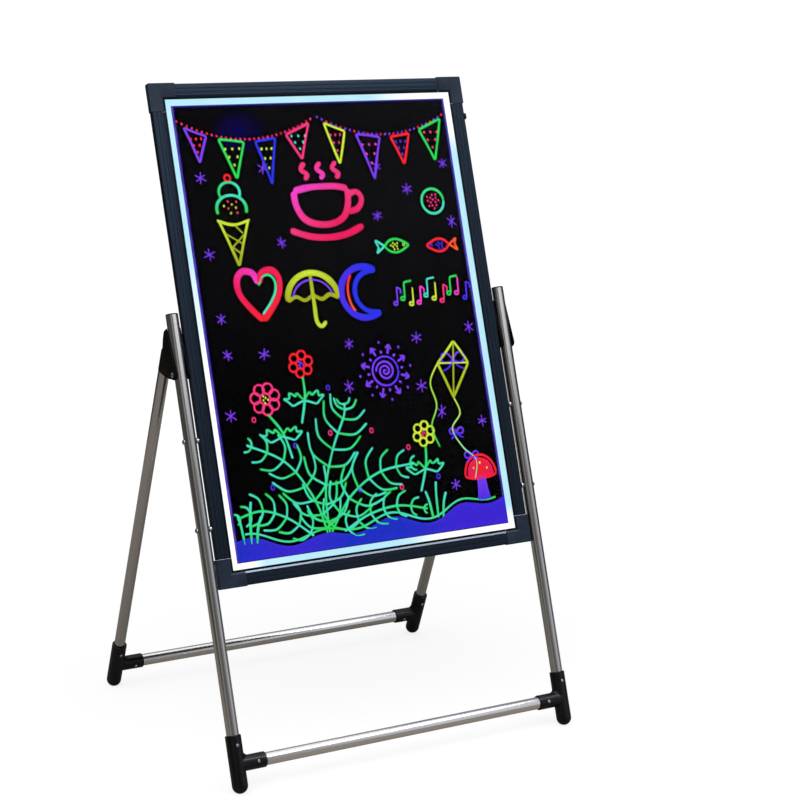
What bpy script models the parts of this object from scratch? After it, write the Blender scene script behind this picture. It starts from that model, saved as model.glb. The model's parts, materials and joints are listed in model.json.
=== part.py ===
"""Edge-lit writing board held between the front legs of a folding steel A-frame stand.

Metres, +Z up. The board faces -Y and leans back. The origin lies on the floor, at the middle of the
stand. Run with: blender --background --python part.py
"""
from math import cos, hypot, pi, radians, sin, tan

import bmesh
import bpy
from mathutils import Matrix, Vector

# Driving sizes of the board
board_width = 0.598
board_height = 0.833
board_lift = 0.3245
rail_width = 0.0265
rail_depth = 0.009
cap_arm = 0.048
cap_stand_out = 0.0011
cap_proud = 0.0008

# Driving sizes of the stand; the stand-off runs from the board's side to the axis of a leg
leg_stand_off = 0.0135
leg_length = 0.775
stand_tilt = radians(20.0)
rear_tilt = radians(20.5)
pivot_drop = 0.097
rear_offset = 0.0585
leg_diameter = 0.0205
rear_leg_diameter = 0.0192
bar_diameter = 0.021
tube_wall = 0.0008
bar_height = 0.046

# Clearances and cutting
gap = 0.0003
overrun = 0.001
overlap = 0.0005

# Facets round a full turn
tube_sides = 24
foot_sides = 24
screw_sides = 12
arc_steps = 3
ball_steps = 5
web_steps = 4

# How finished edges are shaded and joined
smooth_angle = radians(35.0)
cap_edge_angle = radians(40.0)
weld_share = 0.01
head_crown_share = 0.55

# The frame extrusion: walls, chamber, panel channel, lip and grooves
wall_front = 0.0015
wall_back = 0.0014
wall_outer = 0.0013
chamber_width = 0.0128
chamber_web = 0.0015
edge_round = 0.0022
lip_slope = 0.0045
lip_drop = 0.0009
groove_width = 0.0012
groove_depth = 0.0005
groove_place_shares = (0.30, 0.55)
shadow_width = 0.0008

# The layers in the channel, from the front
panel_thickness = 0.0035
sheet_thickness = 0.0004
backing_thickness = 0.0010
panel_margin = 0.0185
border_width = 0.0103
panel_corner = 0.002

# The light strips
strip_board = 0.0010
lamp_height = 0.0014
lamp_length = 0.0030
lamp_pitch = 0.0333

# The corner caps
tongue_length = 0.014
cap_edge = 0.0006
cap_slot_floor = 0.0003

# The power inlet and its control board, on the right rail, measured down from the board's top
inlet_drop = 0.071
inlet_length = 0.0115
inlet_width = 0.0076
inlet_stand_out = 0.0038
inlet_shank = 0.0052
inlet_shank_length = 0.0060
inlet_bore = 0.0040
inlet_bore_depth = 0.0075
inlet_pin = 0.0013
control_length = 0.046
control_thickness = 0.0010
control_gap = 0.012
chip_length = 0.009
chip_height = 0.0020
chip_place_shares = (0.18, 0.42, 0.72)
chip_length_shares = (0.7, 1.0, 0.5)

# Bolts, spacers and nuts that hold the board; their places are shares of the way up the leg from the
# lower corner cap to the pivot
bolt_place_shares = {"middle": 0.64, "lower": 0.1686}
bolt_diameter = 0.004
bolt_head_diameter = 0.0085
bolt_head_height = 0.0026
bolt_hole = 0.0046
spacer_diameter = 0.009
washer_diameter = 0.011
nut_length = 0.012
nut_width = 0.0054
nut_thickness = 0.0024
bolt_past_nut = 0.0008

# The tee feet
foot_diameter = 0.026
foot_flat = 0.0005
socket_top = 0.093
socket_floor = 0.060
socket_rim = 0.0012
arm_reach = 0.049
arm_diameter = 0.0256
arm_floor = 0.006
web_radius = 0.008
web_thickness = 0.012
foot_screw_setback = 0.016
foot_screw_head = 0.0056
foot_screw_head_height = 0.0018
foot_screw_shank = 0.0028
foot_screw_hole = 0.0034
foot_screw_length = 0.0068

# The plugs in the upper ends of the front legs
plug_rim = 0.0018
plug_length = 0.012

# The hinge arms, measured from the pivot in the rear leg's own directions
cheek_thickness = 0.0028
lug_radius = 0.0088
barrel_step = 0.0004
barrel_top = 0.013
barrel_round = 0.006
mouth_back = -0.0294
mouth_front = -0.0250
spigot_low = -0.078
fork_front_step = 0.002
fork_top_reach = 0.076
fork_corner = 0.004
fork_edge = 0.0010
# The fork's back edge as shares of the rear leg's offset and of the fork's reach, and the ends of its
# arched underside as shares of the same offset and of the mouth's front height
fork_back_shares = ((0.971, 0.599), (0.950, 0.447), (0.899, 0.276), (0.896, 0.105))
fork_foot_shares = (0.894, 1.004)
crotch_bend_shares = (0.342, 0.860)

# Sizes that follow from the ones above
leg_spacing = board_width + 2 * leg_stand_off
leg_radius = leg_diameter / 2
rear_leg_radius = rear_leg_diameter / 2
bar_radius = bar_diameter / 2
foot_radius = foot_diameter / 2
leg_x = leg_spacing / 2
half_depth = rail_depth / 2
rail_x = board_width / 2 - cap_stand_out
channel_floor = wall_outer + chamber_width + chamber_web
channel_depth = rail_depth - wall_front - wall_back
lip_start = rail_width - lip_slope
panel_front = wall_front + gap
sheet_front = panel_front + panel_thickness + gap
backing_front = sheet_front + sheet_thickness + gap
opening_angle = stand_tilt + rear_tilt
pivot_height = leg_length - pivot_drop
cap_top = board_lift + cap_arm
bolt_places = {label: cap_top + (pivot_height - cap_top) * share
               for label, share in bolt_place_shares.items()}
inlet_place = board_height - inlet_drop

pivot_y = pivot_height * sin(stand_tilt)
pivot_z = pivot_height * cos(stand_tilt)
rear_length = (pivot_z + rear_offset * sin(rear_tilt)) / cos(rear_tilt)
leg_spread = pivot_y + rear_offset * cos(rear_tilt) + rear_length * sin(rear_tilt)
foot_centre_z = foot_radius - foot_flat
front_reach = foot_radius - foot_centre_z * tan(stand_tilt)
rear_reach = foot_radius - foot_centre_z * tan(rear_tilt)
front_floor_y = -(leg_spread + rear_reach - front_reach) / 2


def linear(hex_colour):
    """Turn an sRGB colour written as six hex digits into linear red, green, blue and alpha."""
    channels = [int(hex_colour[i:i + 2], 16) / 255 for i in (0, 2, 4)]
    return [c / 12.92 if c <= 0.04045 else ((c + 0.055) / 1.055) ** 2.4 for c in channels] + [1.0]


def material(name, hex_colour, roughness, metallic=0.0):
    """A plain finish: colour, roughness and metallic value."""
    made = bpy.data.materials.new(name)
    made.use_nodes = True
    shader = made.node_tree.nodes["Principled BSDF"]
    shader.inputs["Base Color"].default_value = linear(hex_colour)
    shader.inputs["Roughness"].default_value = roughness
    shader.inputs["Metallic"].default_value = metallic
    return made


def empty(name, place, turn):
    """A carrier that the pieces of one frame are placed on."""
    carrier = bpy.data.objects.new(name, None)
    bpy.context.scene.collection.objects.link(carrier)
    carrier.location = place
    carrier.rotation_euler = turn
    return carrier


def piece(name, mesh, finish, carrier=None, place=(0, 0, 0), turn=(0, 0, 0)):
    """One named sub-part with its finish, placed on its carrier."""
    made = bpy.data.objects.new(name, mesh)
    bpy.context.scene.collection.objects.link(made)
    if finish is not None and not mesh.materials:
        mesh.materials.append(finish)
    made.parent = carrier
    made.location = place
    made.rotation_euler = turn
    return made


def finish_mesh(name, bm, smooth=False):
    """Close a bmesh into a mesh with its faces pointing out."""
    bmesh.ops.recalc_face_normals(bm, faces=bm.faces)
    mesh = bpy.data.meshes.new(name)
    bm.to_mesh(mesh)
    bm.free()
    if smooth:
        mesh.shade_smooth()
        mesh.set_sharp_from_angle(angle=smooth_angle)
    return mesh


def prism(name, outline, low, high, along="X"):
    """An outline drawn along one axis; its two coordinates are the next two axes in turn."""
    order = {"X": (1, 2, 0), "Y": (2, 0, 1), "Z": (0, 1, 2)}[along]
    bm = bmesh.new()
    corners = []
    for a, b in outline:
        spot = [0, 0, 0]
        spot[order[0]] = a
        spot[order[1]] = b
        spot[order[2]] = low
        corners.append(bm.verts.new(spot))
    face = bm.faces.new(corners)
    grown = bmesh.ops.extrude_face_region(bm, geom=[face])
    moved = [v for v in grown["geom"] if isinstance(v, bmesh.types.BMVert)]
    step = [0, 0, 0]
    step[order[2]] = high - low
    bmesh.ops.translate(bm, verts=moved, vec=step)
    return finish_mesh(name, bm)


def turned(name, profile, sides, closed=False):
    """Points (radius, height) spun about Z; a closed profile makes a ring or a tube."""
    bm = bmesh.new()
    points = [bm.verts.new((radius, 0, height)) for radius, height in profile]
    edges = [bm.edges.new(pair) for pair in zip(points, points[1:])]
    if closed:
        edges.append(bm.edges.new((points[-1], points[0])))
    bmesh.ops.spin(bm, geom=points + edges, cent=(0, 0, 0), axis=(0, 0, 1), angle=2 * pi,
                   steps=sides, use_merge=True)
    bmesh.ops.remove_doubles(bm, verts=bm.verts, dist=gap * weld_share)
    return finish_mesh(name, bm, smooth=True)


def box(name, low, high):
    """A plain block between two corners."""
    outline = [(low[0], low[1]), (high[0], low[1]), (high[0], high[1]), (low[0], high[1])]
    return prism(name, outline, low[2], high[2], along="Z")


def arc(centre, radius, start, end, steps=arc_steps):
    """Points on a circle from one angle to another."""
    angles = [start + (end - start) * i / steps for i in range(steps + 1)]
    return [(centre[0] + radius * cos(a), centre[1] + radius * sin(a)) for a in angles]


def bend(start, control, end, steps):
    """Points on a parabola that leaves start and reaches end, drawn towards control."""
    start, control, end = Vector(start), Vector(control), Vector(end)
    shares = [i / steps for i in range(steps + 1)]
    return [tuple(start * (1 - t) ** 2 + control * 2 * t * (1 - t) + end * t ** 2) for t in shares]


def helper(made):
    """Mark an object as a tool for a Boolean, and not a piece."""
    made.hide_render = True
    made.display_type = "WIRE"
    return made


def carve(target, tool, how="DIFFERENCE"):
    """Cut a tool out of a piece, or fuse it on."""
    step = target.modifiers.new(tool.name, "BOOLEAN")
    step.operation = how
    step.solver = "EXACT"
    step.object = helper(tool)


def tube(name, outer, inner, low, high, sides=tube_sides):
    """A tube along Z."""
    profile = [(outer, high), (outer, low), (inner, low), (inner, high)]
    return turned(name, profile, sides, closed=True)


def rod(name, radius, low, high, sides=tube_sides):
    """A solid round bar along Z."""
    return turned(name, [(0, high), (radius, high), (radius, low), (0, low)], sides)


across = (0, pi / 2, 0)
across_back = (0, -pi / 2, 0)
forward = (pi / 2, 0, 0)

for old in list(bpy.data.objects):
    bpy.data.objects.remove(old, do_unlink=True)

steel = material("polished_stainless_steel", "c9c6c0", 0.22, 1.0)
anodised = material("black_anodised_aluminium", "232b36", 0.42, 0.6)
cap_plastic = material("black_corner_plastic", "20262e", 0.45)
foot_plastic = material("black_foot_plastic", "111418", 0.38)
acrylic = material("clear_acrylic", "0b0b12", 0.08)
black_film = material("black_film", "020203", 0.5)
white_film = material("white_border_film", "d8f6ff", 0.5)
backing_plastic = material("grey_backing_board", "2a2d31", 0.6)
strip_finish = material("white_strip_board", "e8eef0", 0.5)
board_finish = material("green_circuit_board", "1f5a3a", 0.5)
zinc = material("zinc_plated_steel", "b9bcc0", 0.3, 1.0)

front_stand = empty("front_stand", (0, front_floor_y, 0), (-stand_tilt, 0, 0))
board_frame = empty("board_frame", (0, 0, board_lift), (0, 0, 0))
board_frame.parent = front_stand
pivot_place = (0, front_floor_y + pivot_y, pivot_z)
rear_stand = empty("rear_stand", pivot_place, (rear_tilt, 0, 0))

floor_reach = leg_spacing + board_height
floor_block = piece("floor_block", box("floor_block", (-floor_reach, -floor_reach, -foot_diameter),
                                       (floor_reach, floor_reach, 0)), None)


# The aluminium frame. A rail lies along X, its outer edge at z = 0 and its inner edge at z = +width.
def groove(start):
    """A shallow V along the front face."""
    return [(start, 0), (start + groove_width / 2, groove_depth), (start + groove_width, 0)]


def rail_outline():
    """The section of the extrusion as (depth from the front, distance from the outer edge)."""
    front = []
    for share in groove_place_shares:
        front += groove(rail_width * share)
    front += [(lip_start - shadow_width, 0), (lip_start - shadow_width, groove_depth),
              (lip_start, groove_depth), (lip_start, 0)]
    points = arc((edge_round, edge_round), edge_round, pi, 1.5 * pi) + front
    points += [(rail_width, lip_drop), (rail_width, wall_front), (channel_floor, wall_front),
               (channel_floor, rail_depth - wall_back), (rail_width, rail_depth - wall_back),
               (rail_width, rail_depth)]
    back = (edge_round, rail_depth - edge_round)
    points += arc(back, edge_round, pi / 2, pi)
    return [(depth - half_depth, width) for width, depth in points]


def rail(name, length, place, turn):
    """One rail of the frame with its hollow chamber."""
    made = piece(name, prism(name, rail_outline(), -length / 2, length / 2), anodised, board_frame,
                 place, turn)
    low, high = wall_front - half_depth, rail_depth - wall_back - half_depth
    inner = wall_outer + chamber_width
    core = prism(name + "_chamber", [(low, wall_outer), (high, wall_outer), (high, inner), (low, inner)],
                 -length / 2 - overrun, length / 2 + overrun)
    carve(made, piece(name + "_chamber", core, None, board_frame, place, turn))
    return made


side_length = board_height - 2 * cap_arm - 2 * gap
cross_length = board_width - 2 * cap_arm - 2 * gap
mid_height = board_height / 2
turn_bottom = (0, 0, 0)
turn_left = (0, pi / 2, 0)
turn_top = (0, pi, 0)
turn_right = (0, -pi / 2, 0)
rail_bottom = rail("bottom_rail", cross_length, (0, 0, cap_stand_out), turn_bottom)
rail_top = rail("top_rail", cross_length, (0, 0, board_height - cap_stand_out), turn_top)
rail_left = rail("left_rail", side_length, (-rail_x, 0, mid_height), turn_left)
rail_right = rail("right_rail", side_length, (rail_x, 0, mid_height), turn_right)


# The corner caps: the frame's section swept round an L, mitred at the corner, with two tongues.
cap_back = rail_depth + cap_proud
cap_lip = rail_width + cap_stand_out
slot_start = cap_stand_out + panel_margin - cap_slot_floor
cap_section = [(0, -cap_proud), (lip_start + cap_stand_out, -cap_proud), (cap_lip, lip_drop),
               (cap_lip, wall_front), (slot_start, wall_front),
               (slot_start, rail_depth - wall_back), (cap_lip, rail_depth - wall_back),
               (cap_lip, cap_back), (0, cap_back)]


def cap_mesh():
    """Three copies of the section: at one arm's end, on the mitre, and at the other arm's end."""
    bm = bmesh.new()
    rings = [[bm.verts.new((cap_arm, depth - half_depth, width)) for width, depth in cap_section],
             [bm.verts.new((width, depth - half_depth, width)) for width, depth in cap_section],
             [bm.verts.new((width, depth - half_depth, cap_arm)) for width, depth in cap_section]]
    count = len(cap_section)
    for one, two in zip(rings, rings[1:]):
        for i in range(count):
            j = (i + 1) % count
            bm.faces.new((one[i], one[j], two[j], two[i]))
    bm.faces.new(rings[0])
    bm.faces.new(list(reversed(rings[-1])))
    return finish_mesh("corner_cap", bm)


def tongue_mesh():
    """An L of two bars that fill the chambers of the rails on either side."""
    low, high = wall_front + gap - half_depth, rail_depth - wall_back - gap - half_depth
    near = cap_stand_out + wall_outer + gap
    far = cap_stand_out + wall_outer + chamber_width - gap
    reach = cap_arm + tongue_length
    outline = [(near, near), (near, reach), (far, reach), (far, far), (reach, far), (reach, near)]
    outline = [(z, x) for x, z in outline]
    return prism("cap_tongues", outline, low, high, along="Y")


cap_shape = cap_mesh()
tongue_shape = tongue_mesh()


def corner_cap(name, x, z, turn):
    """One cap with its tongues in the ends of two rails."""
    made = piece(name, cap_shape, cap_plastic, board_frame, (x, 0, z), (0, turn, 0))
    soften = made.modifiers.new("edge", "BEVEL")
    soften.width = cap_edge
    soften.segments = 2
    soften.limit_method = "ANGLE"
    soften.angle_limit = cap_edge_angle
    tongue = piece(name + "_tongues", tongue_shape, None, board_frame, (x, 0, z), (0, turn, 0))
    carve(made, tongue, "UNION")
    return made


half_width = board_width / 2
corner_cap("corner_cap_bottom_left", -half_width, 0, 0)
corner_cap("corner_cap_top_left", -half_width, board_height, pi / 2)
corner_cap("corner_cap_top_right", half_width, board_height, pi)
corner_cap("corner_cap_bottom_right", half_width, 0, -pi / 2)


# The layers between the lips: clear panel, black sheet with its bright border, backing board.
def rounded_sheet(name, width, height, front, thickness, finish, corner=0.0):
    """A flat sheet centred on the board, its front at a depth below the frame's face."""
    x, low, high = width / 2, mid_height - height / 2, mid_height + height / 2
    if corner:
        outline = arc((-x + corner, low + corner), corner, pi, 1.5 * pi)
        outline += arc((x - corner, low + corner), corner, 1.5 * pi, 2 * pi)
        outline += arc((x - corner, high - corner), corner, 0, pi / 2)
        outline += arc((-x + corner, high - corner), corner, pi / 2, pi)
    else:
        outline = [(-x, low), (x, low), (x, high), (-x, high)]
    outline = [(z, across_x) for across_x, z in outline]
    mesh = prism(name, outline, front - half_depth, front + thickness - half_depth, along="Y")
    return piece(name, mesh, finish, board_frame)


panel_width = board_width - 2 * cap_stand_out - 2 * panel_margin
panel_height = board_height - 2 * cap_stand_out - 2 * panel_margin
sheet_width = board_width - 2 * cap_lip - 2 * border_width
sheet_height = board_height - 2 * cap_lip - 2 * border_width
rounded_sheet("writing_panel", panel_width, panel_height, panel_front, panel_thickness, acrylic,
              panel_corner)
rounded_sheet("black_sheet", sheet_width, sheet_height, sheet_front, sheet_thickness, black_film)
rounded_sheet("backing_board", panel_width, panel_height, backing_front, backing_thickness,
              backing_plastic, panel_corner)


def border_film():
    """A thin white ring round the black sheet."""
    outer = [(sx * panel_width / 2, mid_height + sz * panel_height / 2)
             for sx, sz in ((-1, -1), (1, -1), (1, 1), (-1, 1))]
    inner_x, inner_z = sheet_width / 2 + gap, sheet_height / 2 + gap
    inner = [(sx * inner_x, mid_height + sz * inner_z) for sx, sz in ((-1, -1), (1, -1), (1, 1), (-1, 1))]
    bm = bmesh.new()
    levels = (sheet_front - half_depth, sheet_front + sheet_thickness - half_depth)
    loops = [[bm.verts.new((x, y, z)) for x, z in ring] for y in levels for ring in (outer, inner)]
    for i in range(len(outer)):
        j = (i + 1) % len(outer)
        for one, two in ((0, 1), (1, 3), (3, 2), (2, 0)):
            bm.faces.new((loops[one][i], loops[one][j], loops[two][j], loops[two][i]))
    return finish_mesh("light_border", bm)


piece("light_border", border_film(), white_film, board_frame)


def led_strip(name, length, place, turn):
    """A circuit strip on the channel's floor, with a row of lamps that face the panel's edge."""
    low = channel_floor + gap
    top = low + strip_board
    lamp_top = top + lamp_height
    count = int((length - 2 * lamp_pitch) / lamp_pitch)
    first = -lamp_pitch * (count - 1) / 2
    outline = [(low, -length / 2), (top, -length / 2)]
    for i in range(count):
        middle = first + lamp_pitch * i
        outline += [(top, middle - lamp_length / 2), (lamp_top, middle - lamp_length / 2),
                    (lamp_top, middle + lamp_length / 2), (top, middle + lamp_length / 2)]
    outline += [(top, length / 2), (low, length / 2)]
    mesh = prism(name, outline, wall_front + gap - half_depth, rail_depth - wall_back - gap - half_depth,
                 along="Y")
    return piece(name, mesh, strip_finish, board_frame, place, turn)


led_strip("led_strip_bottom", cross_length, (0, 0, cap_stand_out), turn_bottom)
led_strip("led_strip_top", cross_length, (0, 0, board_height - cap_stand_out), turn_top)
led_strip("led_strip_left", side_length, (-rail_x, 0, mid_height), turn_left)
led_strip("led_strip_right", side_length, (rail_x, 0, mid_height), turn_right)


# The power inlet in the right rail, and the control board in the rail's chamber below it.
def stadium(length, width, steps=arc_steps):
    """A slot outline with round ends, long in its first direction."""
    radius, half = width / 2, (length - width) / 2
    return (arc((half, 0), radius, -pi / 2, pi / 2, 2 * steps)
            + arc((-half, 0), radius, pi / 2, 1.5 * pi, 2 * steps))


inlet_at = (rail_x, 0, inlet_place)
inlet_boss = [(y, z) for z, y in stadium(inlet_length, inlet_width)]
inlet = piece("power_inlet", prism("power_inlet", inlet_boss, gap, inlet_stand_out), foot_plastic,
              board_frame, inlet_at)
shank_radius = inlet_shank / 2
shank_end = inlet_stand_out - inlet_bore_depth - overrun
carve(inlet, piece("inlet_shank", rod("inlet_shank", shank_radius, -inlet_shank_length, gap + overlap,
                                      screw_sides), None, board_frame, inlet_at, across), "UNION")
bore_profile = [(inlet_pin / 2, inlet_stand_out + overrun), (inlet_bore / 2, inlet_stand_out + overrun),
                (inlet_bore / 2, inlet_stand_out - inlet_bore_depth),
                (inlet_pin / 2, inlet_stand_out - inlet_bore_depth)]
carve(inlet, piece("inlet_bore", turned("inlet_bore", bore_profile, screw_sides, closed=True), None,
                   board_frame, inlet_at, across))
carve(rail_right, piece("inlet_hole", rod("inlet_hole", shank_radius + gap, -wall_outer - overrun, overrun,
                                          screw_sides), None, board_frame, inlet_at, across))

control_top = inlet_place - control_gap
control_low = -control_thickness / 2
outline = [(control_top, control_low), (control_top - control_length, control_low)]
outline += [(control_top - control_length, -control_low)]
for place_share, length_share in reversed(list(zip(chip_place_shares, chip_length_shares))):
    start = control_top - control_length * place_share
    end = start - chip_length * length_share
    outline += [(end, -control_low), (end, -control_low + chip_height),
                (start, -control_low + chip_height), (start, -control_low)]
outline += [(control_top, -control_low)]
control_x = rail_x - wall_outer - chamber_width / 2
control_half = channel_depth / 2 - 2 * gap
centre_depth = (wall_front - wall_back) / 2
outline = [(z, x + control_x) for z, x in outline]
piece("control_board", prism("control_board", outline, centre_depth - control_half,
                             centre_depth + control_half, along="Y"), board_finish, board_frame)


# The front frame of the stand: two tubes, their plugs, two tee feet and a crossbar.
def bolt_cutter(name, side, height, low, high, diameter=bolt_hole):
    """A round tool along X, from one distance to another to the outside of the leg's axis."""
    mesh = rod(name, diameter / 2, low, high, screw_sides)
    mesh.transform(Matrix.Rotation(pi / screw_sides, 4, "Z"))
    return piece(name, mesh, None, front_stand, (side * leg_x, 0, height), across if side > 0 else across_back)


def leg_tube(name, carrier, x, y, low, high, radius):
    """One stainless tube."""
    return piece(name, tube(name, radius, radius - tube_wall, low, high), steel, carrier, (x, y, 0))


fork_half = leg_radius + gap + cheek_thickness
hole_reach = leg_radius + overrun
sides = {"left": -1, "right": 1}
front_legs = {}
for word, side in sides.items():
    leg = leg_tube("front_leg_" + word, front_stand, side * leg_x, 0, socket_floor + gap, leg_length,
                   leg_radius)
    front_legs[word] = leg
    for label, height in {**bolt_places, "hinge": pivot_height}.items():
        carve(leg, bolt_cutter("leg_hole_" + label + "_" + word, side, height, -hole_reach, hole_reach))
    plug_radius = leg_radius - tube_wall - gap
    profile = [(0, leg_length + gap + plug_rim), (leg_radius - plug_rim / 2, leg_length + gap + plug_rim),
               (leg_radius, leg_length + gap + plug_rim / 2), (leg_radius, leg_length + gap),
               (plug_radius, leg_length + gap), (plug_radius, leg_length - plug_length),
               (0, leg_length - plug_length)]
    piece("leg_plug_" + word, turned("leg_plug_" + word, profile, tube_sides), foot_plastic, front_stand,
          (side * leg_x, 0, 0))


def foot_body():
    """The upright of a tee foot: a round post with a rolled rim and a ball end."""
    low = foot_centre_z
    ball = [(foot_radius * sin(a), low - foot_radius * cos(a))
            for a in [pi / 2 * i / ball_steps for i in range(ball_steps + 1)]]
    profile = ball + [(foot_radius, socket_top - socket_rim), (foot_radius - socket_rim, socket_top),
                      (0, socket_top)]
    return turned("tee_foot", list(reversed(profile)), foot_sides)


def tee_foot(name, carrier, x, y, floor_height, inward, radius):
    """A tee foot: the leg's socket, the crossbar's socket towards the middle, and a fillet web.

    floor_height is the place of the foot's own zero along the leg."""
    base = (x, y, floor_height)
    turn = across if inward > 0 else across_back
    made = piece(name, foot_body(), foot_plastic, carrier, base)
    arm_radius = arm_diameter / 2
    arm_profile = [(0, arm_reach), (arm_radius - socket_rim, arm_reach), (arm_radius, arm_reach - socket_rim),
                   (arm_radius, 0), (0, 0)]
    at_bar = (x, y, floor_height + bar_height)
    arm = turned(name + "_arm", arm_profile, foot_sides)
    arm.transform(Matrix.Rotation(pi / foot_sides, 4, "Z"))
    carve(made, piece(name + "_arm", arm, None, carrier, at_bar, turn), "UNION")
    corner = (foot_radius + web_radius - overlap, arm_radius + web_radius - overlap)
    inner = foot_radius - socket_rim
    low_web = arm_radius - socket_rim
    web = [(inner, low_web), (corner[0], low_web)] + arc(corner, web_radius, 1.5 * pi, pi, web_steps)
    web += [(inner, corner[1])]
    web = [(z + bar_height, inward * out) for out, z in web]
    carve(made, piece(name + "_web", prism(name + "_web", web, -web_thickness / 2, web_thickness / 2,
                                           along="Y"), None, carrier, base), "UNION")
    carve(made, piece(name + "_socket", rod(name + "_socket", radius + gap, socket_floor,
                                            socket_top + overrun), None, carrier, base))
    carve(made, piece(name + "_arm_socket", rod(name + "_arm_socket", bar_radius + gap, arm_floor,
                                                arm_reach + overrun), None, carrier, at_bar, turn))
    carve(made, floor_block)
    return made


def foot_screws(stem, word, foot, leg, bar, carrier, x, y, floor_height, inward):
    """Two screws in the front of a tee foot: one into the leg and one into the crossbar."""
    hole = foot_screw_hole / 2
    shank = foot_screw_shank / 2
    head = foot_screw_head / 2
    places = {"leg": ((x, y, floor_height + socket_top - foot_screw_setback), foot_radius, leg),
              "bar": ((x + inward * (arm_reach - foot_screw_setback), y, floor_height + bar_height),
                      arm_diameter / 2, bar)}
    for label, (spot, surface, metal) in places.items():
        name = stem + "_foot_screw_" + label + "_" + word
        seat = surface + gap
        tip = seat - foot_screw_length
        profile = [(0, seat + foot_screw_head_height), (head * head_crown_share, seat + foot_screw_head_height),
                   (head, seat + foot_screw_head_height / 2), (head, seat), (shank, seat), (shank, tip),
                   (0, tip)]
        piece(name, turned(name, profile, screw_sides), zinc, carrier, spot, forward)
        cutter = piece(name + "_hole", rod(name + "_hole", hole, tip - overrun, surface + overrun,
                                           screw_sides), None, carrier, spot, forward)
        carve(foot, cutter)
        carve(metal, cutter)


def crossbar(name, carrier, y, height):
    """The tube between two tee feet."""
    reach = leg_x - arm_floor - gap
    mesh = tube(name, bar_radius, bar_radius - tube_wall, -reach, reach)
    return piece(name, mesh, steel, carrier, (0, y, height), across)


front_bar = crossbar("front_crossbar", front_stand, 0, bar_height)
for word, side in sides.items():
    foot = tee_foot("front_foot_" + word, front_stand, side * leg_x, 0, 0, -side, leg_radius)
    foot_screws("front", word, foot, front_legs[word], front_bar, front_stand, side * leg_x, 0, 0, -side)


# Bolts, spacers and slot nuts that clamp the board between the legs.
def round_head_bolt(name, side, height, seat, tip):
    """A bolt along X: its head sits at seat, outside the leg's axis, and its shank ends at tip."""
    head = bolt_head_diameter / 2
    shank = bolt_diameter / 2
    top = seat + bolt_head_height
    profile = [(0, top), (head * head_crown_share, top), (head, seat + bolt_head_height / 2), (head, seat),
               (shank, seat), (shank, tip), (0, tip)]
    return piece(name, turned(name, profile, screw_sides), zinc, front_stand, (side * leg_x, 0, height),
                 across if side > 0 else across_back)


rail_face = leg_x - rail_x
nut_face = rail_face + wall_outer + gap
bolt_tip = -(nut_face + nut_thickness + bolt_past_nut)
rails = {"left": rail_left, "right": rail_right}
for word, side in sides.items():
    turn = across if side > 0 else across_back
    for label, height in {**bolt_places, "hinge": pivot_height}.items():
        hinged = label == "hinge"
        seat = (fork_half if hinged else leg_radius) + gap
        bolt_name = "hinge_bolt_" + word if hinged else "board_bolt_" + label + "_" + word
        round_head_bolt(bolt_name, side, height, seat, bolt_tip)
        ring_name = "hinge_washer_" + word if hinged else "board_spacer_" + label + "_" + word
        ring_near = fork_half if hinged else leg_radius
        ring_radius = (washer_diameter if hinged else spacer_diameter) / 2
        ring = tube(ring_name, ring_radius, bolt_hole / 2, -rail_face + gap, -ring_near - gap, screw_sides)
        piece(ring_name, ring, foot_plastic if hinged else zinc, front_stand, (side * leg_x, 0, height), turn)
        nut_name = "slot_nut_" + label + "_" + word
        half_nut, half_long = nut_width / 2, nut_length / 2
        nut = piece(nut_name, box(nut_name, (-half_long, -half_nut, -nut_face - nut_thickness),
                                  (half_long, half_nut, -nut_face)), zinc, front_stand,
                    (side * leg_x, 0, height), turn)
        carve(nut, bolt_cutter(nut_name + "_hole", side, height, bolt_tip - overrun, -nut_face + overrun))
        carve(rails[word], bolt_cutter("rail_hole_" + label + "_" + word, side, height,
                                       -rail_face - wall_outer - overrun, -rail_face + overrun))


# The rear frame. Its carrier's origin is on the hinge's axis; z runs up the rear leg, y to the back.
rear_floor = -rear_length
rear_bar = crossbar("rear_crossbar", rear_stand, rear_offset, rear_floor + bar_height)
rear_legs = {}
for word, side in sides.items():
    leg = leg_tube("rear_leg_" + word, rear_stand, side * leg_x, rear_offset,
                   rear_floor + socket_floor + gap, mouth_back, rear_leg_radius)
    rear_legs[word] = leg
    foot = tee_foot("rear_foot_" + word, rear_stand, side * leg_x, rear_offset, rear_floor, -side,
                    rear_leg_radius)
    foot_screws("rear", word, foot, leg, rear_bar, rear_stand, side * leg_x, rear_offset, rear_floor, -side)


# The hinge arms: a sleeve over the rear leg's end, and a fork that straddles the front leg.
def up_front_leg(along, behind):
    """A place by its distance up the front leg from the pivot and behind the leg's axis."""
    return (along * sin(opening_angle) + behind * cos(opening_angle),
            along * cos(opening_angle) - behind * sin(opening_angle))


def fork_outline():
    """The side view of the fork: a lug round the pivot, a wedge up the leg and an arched underside."""
    front_top = up_front_leg(fork_top_reach, fork_front_step)
    lug_start = -pi / 2
    lug_end = -(pi + opening_angle)
    points = arc((0, 0), lug_radius, lug_start, lug_end, 4 * arc_steps)
    points += [front_top]
    back_edge = [(rear_offset * out, fork_top_reach * up) for out, up in fork_back_shares]
    corner_out, corner_up = back_edge[0]
    top_corner = (corner_out, corner_up + fork_corner)
    points += bend((corner_out - fork_corner, corner_up + 2 * fork_corner), top_corner, back_edge[0], arc_steps)
    points += back_edge[1:]
    foot = (rear_offset * fork_foot_shares[0], mouth_front * fork_foot_shares[1])
    crotch = (rear_offset * crotch_bend_shares[0], mouth_front * crotch_bend_shares[1])
    points += bend(foot, crotch, (0, -lug_radius), 2 * arc_steps)[:-1]
    return points


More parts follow.
